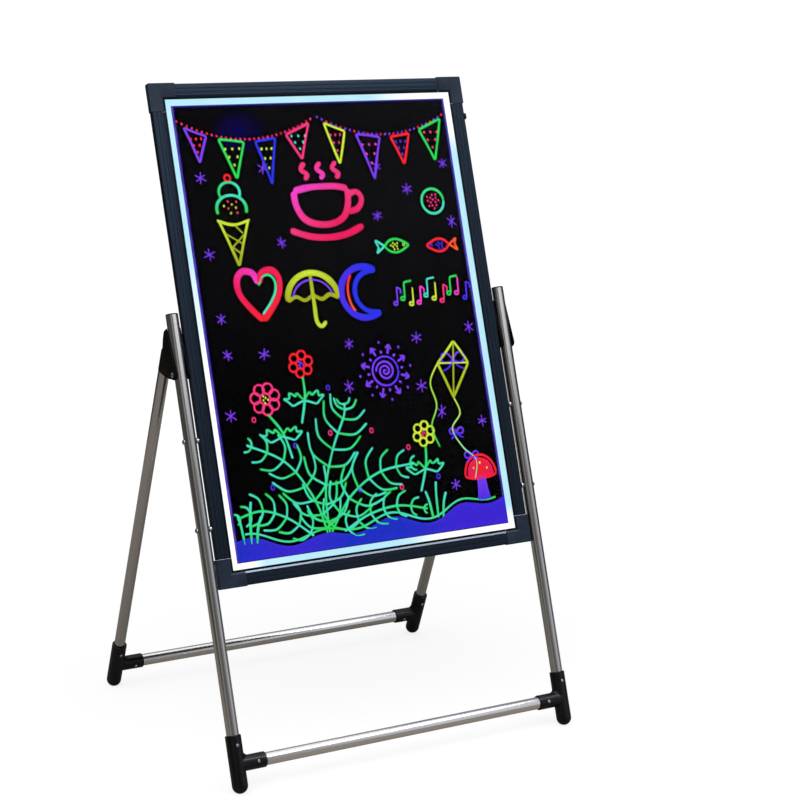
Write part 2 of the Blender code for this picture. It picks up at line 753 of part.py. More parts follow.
def slot_outline():
    """What the front leg needs between the cheeks, from the open stand to the folded one."""
    clear = leg_radius + gap
    far = 2 * fork_top_reach
    meet = clear / cos(opening_angle / 2)
    crossing = (meet * cos(opening_angle / 2), -meet * sin(opening_angle / 2))
    return [up_front_leg(far, -far), up_front_leg(far, clear), crossing, (clear, -far), (-far, -far)]


def mouth_block(end, drop):
    """A block on one side of the slanted joint between an arm and its leg, reaching to a height."""
    reach = 2 * rear_leg_radius
    slope = (mouth_back - mouth_front) / reach
    line = [(rear_offset + step, (mouth_back + mouth_front) / 2 - drop + slope * step)
            for step in (reach, -reach)]
    return line + [(rear_offset - reach, end), (rear_offset + reach, end)]


def hinge_arm(name, side, leg):
    """One moulded arm, mitred to its leg."""
    place = (side * leg_x, 0, 0)
    barrel_place = (side * leg_x, rear_offset, 0)
    bm = bmesh.new()
    bm.from_mesh(prism(name + "_fork", fork_outline(), -fork_half, fork_half))
    rims = [e for e in bm.edges if abs(abs(e.verts[0].co.x) - fork_half) < gap
            and abs(e.verts[0].co.x - e.verts[1].co.x) < gap]
    bmesh.ops.bevel(bm, geom=rims, offset=fork_edge, segments=2, affect="EDGES")
    made = piece(name, finish_mesh(name, bm, smooth=True), foot_plastic, rear_stand, place)
    barrel = rear_leg_radius + barrel_step
    below = mouth_front + mouth_back
    profile = [(0, barrel_top), (barrel - barrel_round, barrel_top), (barrel, barrel_top - barrel_round),
               (barrel, below), (0, below)]
    sleeve = piece(name + "_barrel", turned(name + "_barrel", profile, tube_sides), None, rear_stand,
                   barrel_place)
    mouth = prism(name + "_mouth", mouth_block(2 * below, 0), -2 * fork_half, 2 * fork_half)
    carve(sleeve, piece(name + "_mouth", mouth, None, rear_stand, place))
    carve(made, sleeve, "UNION")
    carve(leg, piece(name + "_mitre", prism(name + "_mitre", mouth_block(0, gap), -2 * fork_half,
                                            2 * fork_half), None, rear_stand, place))
    spigot = rear_leg_radius - tube_wall - gap
    profile = [(0, 0), (spigot, 0), (spigot, spigot_low + socket_rim), (spigot - socket_rim, spigot_low),
               (0, spigot_low)]
    carve(made, piece(name + "_spigot", turned(name + "_spigot", profile, tube_sides), None, rear_stand,
                      barrel_place), "UNION")
    clear = leg_radius + gap
    carve(made, piece(name + "_slot", prism(name + "_slot", slot_outline(), -clear, clear), None,
                      rear_stand, place))
    carve(made, piece(name + "_eye", rod(name + "_eye", bolt_hole / 2, -fork_half - overrun,
                                         fork_half + overrun, screw_sides), None, rear_stand, place, across))
    return made


for word, side in sides.items():
    hinge_arm("hinge_arm_" + word, side, rear_legs[word])
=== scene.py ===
"""Looks of an edge-lit writing board on a folding stainless stand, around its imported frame.

Metres, +Z up, the frame's own place. The board faces -Y and leans back between the front tubes. Most
pieces are drawn in a frame of their own: the stand's, with z up the leg from the floor, the board's,
with x across, y into its depth and z up from its lower edge, or the rear frame's, with z up its leg
from the hinge.
"""
import json
from math import cos, pi, radians, sin

import bmesh
import bpy
import numpy as np
from mathutils import Matrix, Vector

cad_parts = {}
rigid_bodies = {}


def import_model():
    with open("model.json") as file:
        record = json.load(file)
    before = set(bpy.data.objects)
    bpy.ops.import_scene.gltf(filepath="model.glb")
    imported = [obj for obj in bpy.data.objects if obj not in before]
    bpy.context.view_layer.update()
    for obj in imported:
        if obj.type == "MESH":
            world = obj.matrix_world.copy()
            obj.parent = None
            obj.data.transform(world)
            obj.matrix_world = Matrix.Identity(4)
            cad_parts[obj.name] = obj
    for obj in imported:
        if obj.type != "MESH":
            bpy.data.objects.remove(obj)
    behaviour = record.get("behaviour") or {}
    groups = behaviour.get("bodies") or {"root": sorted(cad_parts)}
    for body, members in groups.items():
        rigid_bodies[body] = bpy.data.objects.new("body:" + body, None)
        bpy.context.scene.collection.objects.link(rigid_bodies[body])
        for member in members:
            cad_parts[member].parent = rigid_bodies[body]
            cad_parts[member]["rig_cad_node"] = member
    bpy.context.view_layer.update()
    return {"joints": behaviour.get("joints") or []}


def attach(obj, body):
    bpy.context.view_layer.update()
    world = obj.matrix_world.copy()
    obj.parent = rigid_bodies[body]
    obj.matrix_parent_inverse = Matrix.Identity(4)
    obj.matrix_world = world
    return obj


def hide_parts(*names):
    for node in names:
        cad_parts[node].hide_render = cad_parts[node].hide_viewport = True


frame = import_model()
STAND = "stand_and_board"
REAR = "rear_frame"
MM = 0.001

# Sizes of the board, as the frame has them
board_width = 0.598
board_height = 0.833
board_lift = 0.3245
rail_width = 0.0265
rail_depth = 0.009
cap_arm = 0.048
cap_stand_out = 0.0011
cap_proud = 0.0008
panel_margin = 0.0185
panel_thickness = 0.0035
panel_corner = 0.002
border_width = 0.0103
edge_round = 0.0022
wall_front = 0.0015
wall_back = 0.0014
channel_floor = 0.0156
groove_width = 0.0012
groove_depth = 0.0005
groove_places = (0.00795, 0.014575)
sheet_thickness = 0.0004

# Relief of the rails and caps that only the scene has: a crisper back edge, and on the face, from the
# outside in, a shadow line, a land, a sloping facet and a slope down to the panel
back_round = 0.0006
shadow_width = 0.0016
shadow_land = 0.8 * MM
lip_facet = 0.0030
facet_drop = 0.00095
lip_slope = 0.0038
lip_drop = 0.00135
groove_round = 0.12 * MM
valley_round = 0.2 * MM
fine_round = 0.1 * MM
soft_round = 0.3 * MM
cap_outer_round = 2.0 * MM
cap_bevel = 0.25 * MM

# Sizes of the stand
leg_x = 0.3125
leg_length = 0.775
stand_tilt = radians(20.0)
rear_tilt = radians(20.5)
pivot_height = 0.678
rear_offset = 0.0585
leg_radius = 0.01025
rear_leg_radius = 0.0096
bar_radius = 0.0105
tube_wall = 0.0008
bar_height = 0.046
gap = 0.0003
bolt_shares = {"middle": 0.64, "lower": 0.1686}

# Sizes of the feet, plugs and fasteners
foot_radius = 0.013
foot_flat = 0.0005
socket_top = 0.093
socket_floor = 0.060
socket_rim = 0.0012
arm_reach = 0.049
arm_radius = 0.0128
arm_floor = 0.006
web_radius = 0.008
foot_screw_setback = 0.016
foot_screw_head = 0.0028
foot_screw_height = 0.0018
foot_screw_shank = 1.4 * MM
foot_screw_tip = 6.8 * MM
foot_screw_socket = 1.3 * MM
bolt_radius = 0.002
bolt_head = 0.00425
bolt_head_height = 0.0026
bolt_hole = 0.0023
bolt_socket = 1.4 * MM
rail_wall = 1.3 * MM
nut_thickness = 2.4 * MM
bolt_past_nut = 0.8 * MM
ring_round = 0.4 * MM
tube_round = 0.25 * MM
spacer_radius = 0.0045
washer_radius = 0.0055
plug_rim = 0.0018
plug_length = 0.012
plug_crown = 1.3 * MM

# Sizes of the hinge arms
cheek_thickness = 0.0028
lug_radius = 0.0088
barrel_step = 0.0004
barrel_top = 0.013
barrel_round = 0.006
mouth_back = -0.0294
mouth_front = -0.0250
fork_front_step = 0.002
fork_top_reach = 0.076
fork_corner = 0.004
fork_edge = 0.0010
fork_back_shares = ((0.971, 0.599), (0.950, 0.447), (0.899, 0.276), (0.896, 0.105))
fork_foot_shares = (0.894, 1.004)
crotch_bend_shares = (0.342, 0.860)

# Sizes of the power inlet, its place measured up the board
inlet_place = 0.762
inlet_length = 0.0115
inlet_width = 0.0076
inlet_stand_out = 0.0038
inlet_bore = 0.0020
inlet_pin = 0.00065
inlet_depth = 4 * MM
inlet_bevel = 0.3 * MM

# Fineness of the surfaces
round_sides = 96
ring_sides = 64
head_sides = 48
arc_steps = 6
merge_distance = 2e-6
merge_board = 1e-5

pivot = np.array(frame["joints"][0]["pos_m"])
floor_y = pivot[1] - pivot_height * sin(stand_tilt)
half_depth = rail_depth / 2
half_width = board_width / 2
mid_height = board_height / 2
rail_x = half_width - cap_stand_out
rear_length = (pivot[2] + rear_offset * sin(rear_tilt)) / cos(rear_tilt)
opening_angle = stand_tilt + rear_tilt
cap_top = board_lift + cap_arm
bolt_heights = {label: cap_top + share * (pivot_height - cap_top) for label, share in bolt_shares.items()}
fork_half = leg_radius + gap + cheek_thickness
panel_front = wall_front + gap - half_depth
sheet_front = panel_front + panel_thickness + gap
lip_back = wall_front - half_depth
cap_lip = rail_width + cap_stand_out
sheet_half_x = half_width - cap_lip - border_width
sheet_half_z = mid_height - cap_lip - border_width
sides = {"left": -1, "right": 1}

# Places on the panel in the board's frame: the smear of ink, and where the border shines white, each with
# its reach along x, y and z
smear_place = (-0.145, 0, board_height - 0.085)
white_places = (((-0.27, 0, 0.05), (0.06, 1, 0.5)), ((0.27, 0, 0.80), (0.15, 1, 0.10)),
                ((0.19, 0, 0.03), (0.13, 1, 0.05)))


# Colours and nodes
def linear(hex_colour, alpha=1.0):
    """An sRGB colour of six hex digits as linear red, green, blue and alpha."""
    channels = np.array([int(hex_colour[i:i + 2], 16) for i in (0, 2, 4)]) / 255
    low, high = channels / 12.92, ((channels + 0.055) / 1.055) ** 2.4
    return (*np.where(channels <= 0.04045, low, high).tolist(), alpha)


def add(material, kind, settings=None, links=None):
    """Add one node: settings are its properties or the values of its inputs, links what feeds its inputs."""
    tree = material.node_tree
    made = tree.nodes.new("ShaderNode" + kind)
    for key, value in (settings or {}).items():
        if isinstance(key, str) and hasattr(made, key):
            setattr(made, key, value)
        else:
            made.inputs[key].default_value = value
    for key, source in (links or {}).items():
        tree.links.new(source, made.inputs[key])
    return made


def reckon(material, operation, *values, kind="Math"):
    """The result of a maths node: each value is a number, a vector or another node's output."""
    linked = {i: value for i, value in enumerate(values) if isinstance(value, bpy.types.NodeSocket)}
    fixed = {i: value for i, value in enumerate(values) if i not in linked}
    made = add(material, kind, {"operation": operation, **fixed}, linked)
    return made.outputs["Value" if operation == "LENGTH" or kind == "Math" else "Vector"]


def new_material(name, settings):
    """A material with the settings of its Principled shader."""
    made = bpy.data.materials.new(name)
    made.use_nodes = True
    shader = made.node_tree.nodes["Principled BSDF"]
    for key, value in settings.items():
        shader.inputs[key].default_value = value
    return made, shader


def feed(material, shader, key, source):
    """Link a node's output to one input of a material's shader."""
    material.node_tree.links.new(source, shader.inputs[key])


def in_scene(name, data):
    """A new object in the scene."""
    made = bpy.data.objects.new(name, data)
    bpy.context.scene.collection.objects.link(made)
    return made


# Frames that the pieces are drawn in
def lean(points, tilt, base):
    """Points turned about X by a tilt towards +Y and moved to their base."""
    x, y, z = points[..., 0], points[..., 1], points[..., 2]
    turned = np.stack([x, y * cos(tilt) + z * sin(tilt), z * cos(tilt) - y * sin(tilt)], axis=-1)
    return turned + np.asarray(base)


def on_stand(points):
    """From the front stand's own frame to the object's place."""
    return lean(points, stand_tilt, (0, floor_y, 0))


def on_board(points):
    """From the board's frame to the object's place."""
    return on_stand(points + np.array([0, 0, board_lift]))


def on_rear(points):
    """From the rear frame's own frame to the object's place."""
    return lean(points, -rear_tilt, pivot)


def moved(points, x=0.0, y=0.0, z=0.0):
    """Points moved along the axes."""
    return points + np.array([x, y, z])


def turned_about_y(points, angle):
    """Points turned about Y: x becomes x cos a + z sin a, and z becomes z cos a - x sin a."""
    x, y, z = points[..., 0], points[..., 1], points[..., 2]
    return np.stack([x * cos(angle) + z * sin(angle), y, z * cos(angle) - x * sin(angle)], axis=-1)


# Profiles and surfaces
def rounded(corners, closed=False, steps=arc_steps):
    """A profile of corners (a, b, radius), each radius turned into an arc that touches both edges."""
    out, count = [], len(corners)
    for i, (a, b, radius) in enumerate(corners):
        here = np.array([a, b], float)
        if radius == 0 or (not closed and i in (0, count - 1)):
            out.append(here)
            continue
        before = np.array(corners[i - 1][:2]) - here
        after = np.array(corners[(i + 1) % count][:2]) - here
        before, after = before / np.hypot(*before), after / np.hypot(*after)
        half = np.arccos(np.clip(before @ after, -1, 1)) / 2
        middle = (before + after) / np.hypot(*(before + after))
        centre = here + middle * radius / np.sin(half)
        start = here + before * radius / np.tan(half) - centre
        end = here + after * radius / np.tan(half) - centre
        sweep = np.arctan2(start[0] * end[1] - start[1] * end[0], start @ end)
        t = np.linspace(0, sweep, steps + 1)[:, None]
        normal = np.array([-start[1], start[0]])
        out += list(centre + np.cos(t) * start + np.sin(t) * normal)
    return np.array(out)


def arc(centre, radius, start, end, steps):
    """Points on a circle from one angle to another."""
    t = np.linspace(start, end, steps + 1)
    return np.stack([centre[0] + radius * np.cos(t), centre[1] + radius * np.sin(t)], axis=-1)


def to_axis(a, b, c, axis):
    """Coordinates a, b across an axis and c along it, as points; Y stands for the axis that faces -Y."""
    order = {"X": (c, a, b), "-X": (-c, a, -b), "Y": (a, -c, b), "Z": (a, b, c)}[axis]
    return np.stack(order, axis=-1)


def revolve(profile, axis="Z", sides_round=round_sides):
    """A profile of (radius, height) spun round an axis: a = r cos t, b = r sin t, c = height."""
    t = np.linspace(0, 2 * pi, sides_round + 1)
    profile = np.asarray(profile, float)
    radius, height = profile[:, :1], np.repeat(profile[:, 1:], sides_round + 1, axis=1)
    return to_axis(radius * np.cos(t), radius * np.sin(t), height, axis)


def extrude(outline, low, high, axis="X"):
    """An outline of two coordinates drawn along an axis: its wall as a grid, and its two ends."""
    outline = np.asarray(outline, float)
    ring = np.concatenate([outline, outline[:1]])
    a, b = ring[:, :1], ring[:, 1:]
    ones = np.ones_like(a)
    wall = to_axis(np.hstack([a, a]), np.hstack([b, b]), np.hstack([ones * low, ones * high]), axis)
    return wall, [wall[:-1, 0], wall[:-1, 1]]


def mesh_of(name, grids, lids=(), tints=None):
    """A closed mesh from grids of points. Neighbours along rows and columns are joined by quads, points
    that meet are merged, a lid fills each open ring, and the normals are turned outwards."""
    faces, count = [], 0
    for grid in grids:
        rows, columns = grid.shape[:2]
        index = count + np.arange(rows * columns).reshape(rows, columns)
        corners = (index[:-1, :-1], index[1:, :-1], index[1:, 1:], index[:-1, 1:])
        faces += np.stack(corners, axis=-1).reshape(-1, 4).tolist()
        count += rows * columns
    for ring in lids:
        faces.append(list(range(count, count + len(ring))))
        count += len(ring)
    points = np.concatenate([grid.reshape(-1, 3) for grid in grids] + [np.asarray(ring) for ring in lids])
    mesh = bpy.data.meshes.new(name)
    mesh.from_pydata(points.tolist(), [], faces)
    if tints is not None:
        colours = np.concatenate([tint.reshape(-1, 4) for tint in tints])
        mesh.attributes.new("tint", "FLOAT_COLOR", "POINT").data.foreach_set("color", colours.ravel())
    tidy_mesh(mesh)
    return mesh


def tidy_mesh(mesh, distance=merge_distance):
    """Merge the points that meet and turn the faces outwards."""
    bm = bmesh.new()
    bm.from_mesh(mesh)
    bmesh.ops.remove_doubles(bm, verts=bm.verts, dist=distance)
    bmesh.ops.recalc_face_normals(bm, faces=bm.faces)
    bm.to_mesh(mesh)
    bm.free()


def worked(name, mesh, steps):
    """A mesh after Boolean steps, each a tool mesh and UNION or DIFFERENCE."""
    base = in_scene(name, mesh)
    tools = []
    for tool_mesh, how in steps:
        tool = in_scene(name + "_tool", tool_mesh)
        tools.append(tool)
        step = base.modifiers.new("step", "BOOLEAN")
        step.operation = how
        step.solver = "EXACT"
        step.object = tool
    bpy.context.view_layer.update()
    evaluated = base.evaluated_get(bpy.context.evaluated_depsgraph_get())
    result = bpy.data.meshes.new_from_object(evaluated)
    for spare in [base, *tools]:
        bpy.data.objects.remove(spare, do_unlink=True)
    tidy_mesh(result, merge_board)
    return result


def show(name, mesh, finish, body, place, replaced=(), sharp=32.0, bevel=0.0, accents=()):
    """Place a mesh, keep its unplaced points as the attribute local, and let it ride on its body. An accent
    is a second finish for the faces whose unplaced centres pass its test."""
    centres = [np.array(face.center) for face in mesh.polygons]
    points = np.empty(len(mesh.vertices) * 3)
    mesh.vertices.foreach_get("co", points)
    mesh.attributes.new("local", "FLOAT_VECTOR", "POINT").data.foreach_set("vector", points)
    mesh.vertices.foreach_set("co", place(points.reshape(-1, 3)).ravel())
    mesh.update()
    mesh.materials.clear()
    mesh.materials.append(finish)
    for accent, test in accents:
        mesh.materials.append(accent)
        for face, centre in zip(mesh.polygons, centres):
            if test(centre):
                face.material_index = len(mesh.materials) - 1
    mesh.shade_smooth()
    mesh.set_sharp_from_angle(angle=radians(sharp))
    made = in_scene(name, mesh)
    if bevel:
        soften = made.modifiers.new("edge", "BEVEL")
        soften.width = bevel
        soften.segments = 3
        soften.limit_method = "ANGLE"
        soften.angle_limit = radians(40.0)
        soften.harden_normals = False
    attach(made, body)
    if replaced:
        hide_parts(*replaced)


# Materials
def local_place(material):
    """A point's place in the frame that its piece is drawn in."""
    return add(material, "Attribute", {"attribute_name": "local"}).outputs["Vector"]


def noise(material, place, settings, low, high):
    """A noise, its middle values mapped to a range."""
    made = add(material, "TexNoise", settings, {"Vector": place})
    return add(material, "MapRange", {"From Min": 0.3, "From Max": 0.7, "To Min": low, "To Max": high},
               {"Value": made.outputs["Fac"]}).outputs["Result"]


def streaks(material, across_mm, along_mm, axis, low, high):
    """A noise drawn out along one axis of the piece."""
    scale = [1 / (across_mm * MM)] * 3
    scale["XYZ".index(axis)] = 1 / (along_mm * MM)
    place = add(material, "Mapping", {"Scale": scale}, {"Vector": local_place(material)}).outputs["Vector"]
    return noise(material, place, {"Scale": 1.0, "Detail": 3.0, "Roughness": 0.6}, low, high)


def grain(material, size_mm, low, high, detail=2.0):
    """A noise of one grain size on object coordinates."""
    place = add(material, "TexCoord").outputs["Object"]
    return noise(material, place, {"Scale": 1 / (size_mm * MM), "Detail": detail}, low, high)


def mixed(material, first, second, factor):
    """A mix of two linear colours: the first where the factor is zero, the second where it is one."""
    return add(material, "Mix", {"data_type": "RGBA", 6: first, 7: second}, {0: factor}).outputs[2]


def varied(material, dark_hex, light_hex, factor):
    """A colour between two hex colours, chosen by a factor."""
    return mixed(material, linear(dark_hex), linear(light_hex), factor)


def bumped(material, shader, height, depth_mm):
    """Use a height from nodes as a bump of a real depth."""
    bump = add(material, "Bump", {"Distance": depth_mm * MM, "Strength": 1.0}, {"Height": height})
    feed(material, shader, "Normal", bump.outputs["Normal"])


def stainless(name, axis, dark_hex, light_hex):
    """Welded 201 stainless tube, drawn and belt polished along its length. The belt leaves fine scratches
    that stretch reflections round the tube; real ones are under 0.1 mm apart, and are drawn 1.2 mm apart
    so that they show."""
    made, shader = new_material(name, {"Metallic": 1.0, "Roughness": 0.17})
    feed(made, shader, "Base Color", varied(made, dark_hex, light_hex, streaks(made, 1.6, 260, axis, 0, 1)))
    feed(made, shader, "Roughness", streaks(made, 1.2, 90, axis, 0.13, 0.24))
    bumped(made, shader, streaks(made, 1.2, 180, axis, 0, 1), 0.004)
    return made


def anodised(name, dark_hex, light_hex):
    """Extruded aluminium 6063, fine etched and anodised black-blue. The die leaves faint lines along the
    bar, and the oxide film gives a satin sheen."""
    made, shader = new_material(name, {"Metallic": 0.9, "Roughness": 0.42})
    feed(made, shader, "Base Color", varied(made, dark_hex, light_hex, streaks(made, 1.1, 400, "X", 0, 1)))
    feed(made, shader, "Roughness", streaks(made, 0.9, 300, "X", 0.36, 0.5))
    bumped(made, shader, streaks(made, 0.8, 400, "X", 0, 1), 0.02)
    return made


def moulded(name, dark_hex, light_hex, low_rough, high_rough, grain_mm, depth_mm, gloss):
    """Injection moulded plastic: a fine spark-eroded grain breaks up the highlight."""
    made, shader = new_material(name, {"Specular IOR Level": gloss})
    feed(made, shader, "Base Color", varied(made, dark_hex, light_hex, grain(made, 22, 0, 1)))
    feed(made, shader, "Roughness", grain(made, 4, low_rough, high_rough))
    bumped(made, shader, grain(made, grain_mm, 0, 1, 3.0), depth_mm)
    return made


leg_steel = stainless("belt_polished_stainless_legs", "Z", "c2c1c0", "d2d1d0")
# Painted light: the crossbars take a lighter copy of the legs' steel, though both are the same tube
bar_steel_painted_lighter = stainless("belt_polished_stainless_bars", "X", "eeedeb", "faf9f8")
rail_finish = anodised("extruded_black_anodised_aluminium", "1c2531", "232f3b")
# Painted shade: a near-black finish on the slope of every rail's and cap's lip, where the lip falls to the
# panel and lies in shade
lip_painted_shade = anodised("anodised_lip_in_the_shade", "080e14", "0c131a")
# Painted highlight: a light finish on the facet of the bottom rail's lip, where light glints along it
lip_painted_highlight = anodised("anodised_lip_rubbed_bright", "7d8793", "99a2ae")
# Painted highlight: a dimmer light finish on the facets of the two bottom caps, running on from the bottom
# rail's
cap_painted_highlight = anodised("moulded_cap_lip_rubbed_bright", "3f4a55", "4c5762")
cap_finish = moulded("moulded_abs_corner_cap", "182637", "223245", 0.42, 0.52, 0.9, 0.012, 0.2)
foot_finish = moulded("moulded_polypropylene_foot", "030408", "06070d", 0.25, 0.33, 1.1, 0.01, 0.34)
arm_finish = moulded("moulded_nylon_hinge_arm", "030304", "050506", 0.45, 0.55, 1.1, 0.015, 0.1)
plug_finish = moulded("moulded_polyethylene_plug", "050506", "090a0b", 0.35, 0.45, 0.9, 0.01, 0.2)


def zinc_plated():
    """Cold formed steel screws, zinc plated and blue passivated: bright grey with a mottled film."""
    made, shader = new_material("zinc_plated_screw_steel", {"Metallic": 1.0, "Roughness": 0.28})
    feed(made, shader, "Base Color", varied(made, "a9adb2", "cfd3d8", grain(made, 1.5, 0, 1)))
    feed(made, shader, "Roughness", grain(made, 0.8, 0.2, 0.36))
    return made


def cast_acrylic():
    """Cast acrylic sheet: clear, with faint wipe marks. The photographed panel mirrors nothing, so the
    tint of its reflections is kept low."""
    made, shader = new_material("cast_clear_acrylic", {"Base Color": linear("ffffff"), "IOR": 1.49,
                                                       "Transmission Weight": 1.0, "Roughness": 0.02,
                                                       "Specular Tint": (0.03, 0.03, 0.03, 1)})
    feed(made, shader, "Roughness", grain(made, 45, 0.0, 0.05, 3.0))
    return made


def from_edges(material, place):
    """How far a point of the black sheet lies from its left or right edge, and from its lower or upper
    edge, in metres: half the sheet's size less the distance from its middle."""
    parts = add(material, "SeparateXYZ", links={"Vector": place})
    level = reckon(material, "SUBTRACT", parts.outputs["Z"], mid_height)
    return [reckon(material, "SUBTRACT", half, reckon(material, "ABSOLUTE", across))
            for half, across in ((sheet_half_x, parts.outputs["X"]), (sheet_half_z, level))]


def fall(material, distance, full_mm, end_mm):
    """One inside the full distance from an edge, falling smoothly to zero at the end distance."""
    made = add(material, "MapRange", {"interpolation_type": "SMOOTHSTEP", "From Min": full_mm * MM,
                                      "From Max": end_mm * MM, "To Min": 1.0, "To Max": 0.0},
               {"Value": distance})
    return made.outputs["Result"]


def black_backing():
    """Black vinyl film behind the clear panel. Light from the panel's edge leaves a violet-blue line
    along its sides, fainter above and below, and a soft blue smear of wiped ink near the upper left."""
    made, shader = new_material("black_vinyl_film", {"Base Color": linear("020103"), "Roughness": 0.5,
                                                    "Specular IOR Level": 0.0})
    place = local_place(made)
    from_side, from_end = from_edges(made, place)
    side = reckon(made, "MULTIPLY", fall(made, from_side, 2.0, 6.0), grain(made, 28, 0.55, 1.0))
    end = reckon(made, "MULTIPLY", fall(made, from_end, 0.5, 4.5), 0.45)
    line = reckon(made, "MAXIMUM", side, end)
    feed(made, shader, "Emission Color", varied(made, "1206c8", "6a54c4", line))
    away = reckon(made, "SUBTRACT", place, smear_place, kind="VectorMath")
    away = reckon(made, "MULTIPLY", away, (1.0, 0.0, 1.3), kind="VectorMath")
    reach = reckon(made, "LENGTH", away, kind="VectorMath")
    cloud = reckon(made, "MULTIPLY", fall(made, reach, 4, 55), grain(made, 16, 0.0, 0.16, 4.0))
    feed(made, shader, "Emission Strength", reckon(made, "MAXIMUM", line, cloud))
    return made


def lit_border():
    """White diffusing film round the black sheet, lit by the lamps at the panel's edge: it shines pale ice
    blue, and white at three places where more light leaves it."""
    made, shader = new_material("lit_white_diffusing_film", {
        "Roughness": 0.5, "Base Color": linear("202122"), "Emission Strength": 1.06})
    local, white = local_place(made), 0.0
    for place, reach in white_places:
        share = reckon(made, "SUBTRACT", local, place, kind="VectorMath")
        share = reckon(made, "DIVIDE", share, reach, kind="VectorMath")
        glow = fall(made, reckon(made, "LENGTH", share, kind="VectorMath"), 500, 1100)
        white = reckon(made, "MAXIMUM", glow, white)
    drift = reckon(made, "ADD", white, grain(made, 60, -0.1, 0.14))
    clear = add(made, "Clamp", links={"Value": drift})
    feed(made, shader, "Emission Color", varied(made, "b2e4f3", "ffffff", clear.outputs[0]))
    return made


def neon_ink():
    """Wiped-on fluorescent marker ink: it glows in its own colour where the panel's light reaches it. The
    felt tip leaves streaks and thin places."""
    made, shader = new_material("fluorescent_marker_ink", {
        "Roughness": 0.45, "Specular IOR Level": 0.1, "Emission Strength": 0.92})
    tint = {0: add(made, "Attribute", {"attribute_name": "tint"}).outputs["Color"]}
    streak = grain(made, 2.4, 0.78, 1.12, 3.0)
    scaled = add(made, "VectorMath", {"operation": "SCALE"}, {**tint, "Scale": streak})
    film_tone = add(made, "VectorMath", {"operation": "SCALE", "Scale": 0.12}, tint)
    feed(made, shader, "Base Color", film_tone.outputs["Vector"])
    feed(made, shader, "Emission Color", scaled.outputs["Vector"])
    return made


def plain(name, dark_hex, light_hex, roughness, grain_mm):
    """A hidden part's finish: two near colours mixed by a fine grain."""
    made, shader = new_material(name, {"Roughness": roughness})
    feed(made, shader, "Base Color", varied(made, dark_hex, light_hex, grain(made, grain_mm, 0, 1)))
    return made


screw_finish = zinc_plated()
acrylic = cast_acrylic()
film = black_backing()
border_finish = lit_border()
ink = neon_ink()
backing_finish = plain("ribbed_grey_backing_board", "25282c", "303439", 0.6, 3)
strip_finish = plain("white_flexible_lamp_strip", "d9dfe2", "eef3f5", 0.5, 1)
board_finish = plain("green_masked_circuit_board", "1b5034", "24653f", 0.45, 1)


# The board's frame: four rails and four corner caps
def rail_section():
    """The extrusion's section as (width from the outer edge, depth from the face)."""
    corners = [(0, 0, edge_round)]
    for start in groove_places:
        corners += [(start, 0, groove_round), (start + groove_width / 2, groove_depth, valley_round),
                    (start + groove_width, 0, groove_round)]
    slope, inner_back = rail_width - lip_slope, rail_depth - wall_back
    facet = slope - lip_facet
    shadow = facet - shadow_land
    start = shadow - shadow_width
    corners += [(start, 0, 1.5 * fine_round), (start, groove_depth, fine_round),
                (shadow, groove_depth, fine_round), (shadow, 0, fine_round), (facet, 0, soft_round),
                (slope, facet_drop, soft_round), (rail_width, lip_drop, 0), (rail_width, wall_front, 0),
                (channel_floor, wall_front, 0), (channel_floor, inner_back, 0),
                (rail_width, inner_back, fine_round), (rail_width, rail_depth, soft_round),
                (0, rail_depth, back_round)]
    return rounded(corners, closed=True)


def on_side(angle, x, z):
    """From the frame of a rail or a corner cap to the object's place."""
    return lambda points: on_board(moved(turned_about_y(points, angle), x, 0, z))


def rail(name, length, angle, x, z):
    """The section carried along a rail, turned and moved to its side of the board."""
    section = rail_section()
    outline = np.stack([section[:, 1] - half_depth, section[:, 0]], axis=-1)
    wall, ends = extrude(outline, -length / 2, length / 2, "X")
    mesh = mesh_of(name, [wall], ends)
    # Painted shade on the slope of the lip
    accents = [(lip_painted_shade, lambda c: c[1] < lip_back and c[2] > rail_width - lip_slope)]
    # Painted highlight on the bottom rail's facet
    if name == "bottom_rail":
        facet_end = rail_width - lip_slope
        accents.append((lip_painted_highlight, lambda c: c[1] < lip_back and 0 < facet_end - c[2] < lip_facet))
    show(name + "_extrusion", mesh, rail_finish, STAND, on_side(angle, x, z), [name], accents=accents)


side_length = board_height - 2 * cap_arm - 2 * gap
cross_length = board_width - 2 * cap_arm - 2 * gap
rail("bottom_rail", cross_length, 0, 0, cap_stand_out)
rail("top_rail", cross_length, pi, 0, board_height - cap_stand_out)
rail("left_rail", side_length, pi / 2, -rail_x, mid_height)
rail("right_rail", side_length, -pi / 2, rail_x, mid_height)


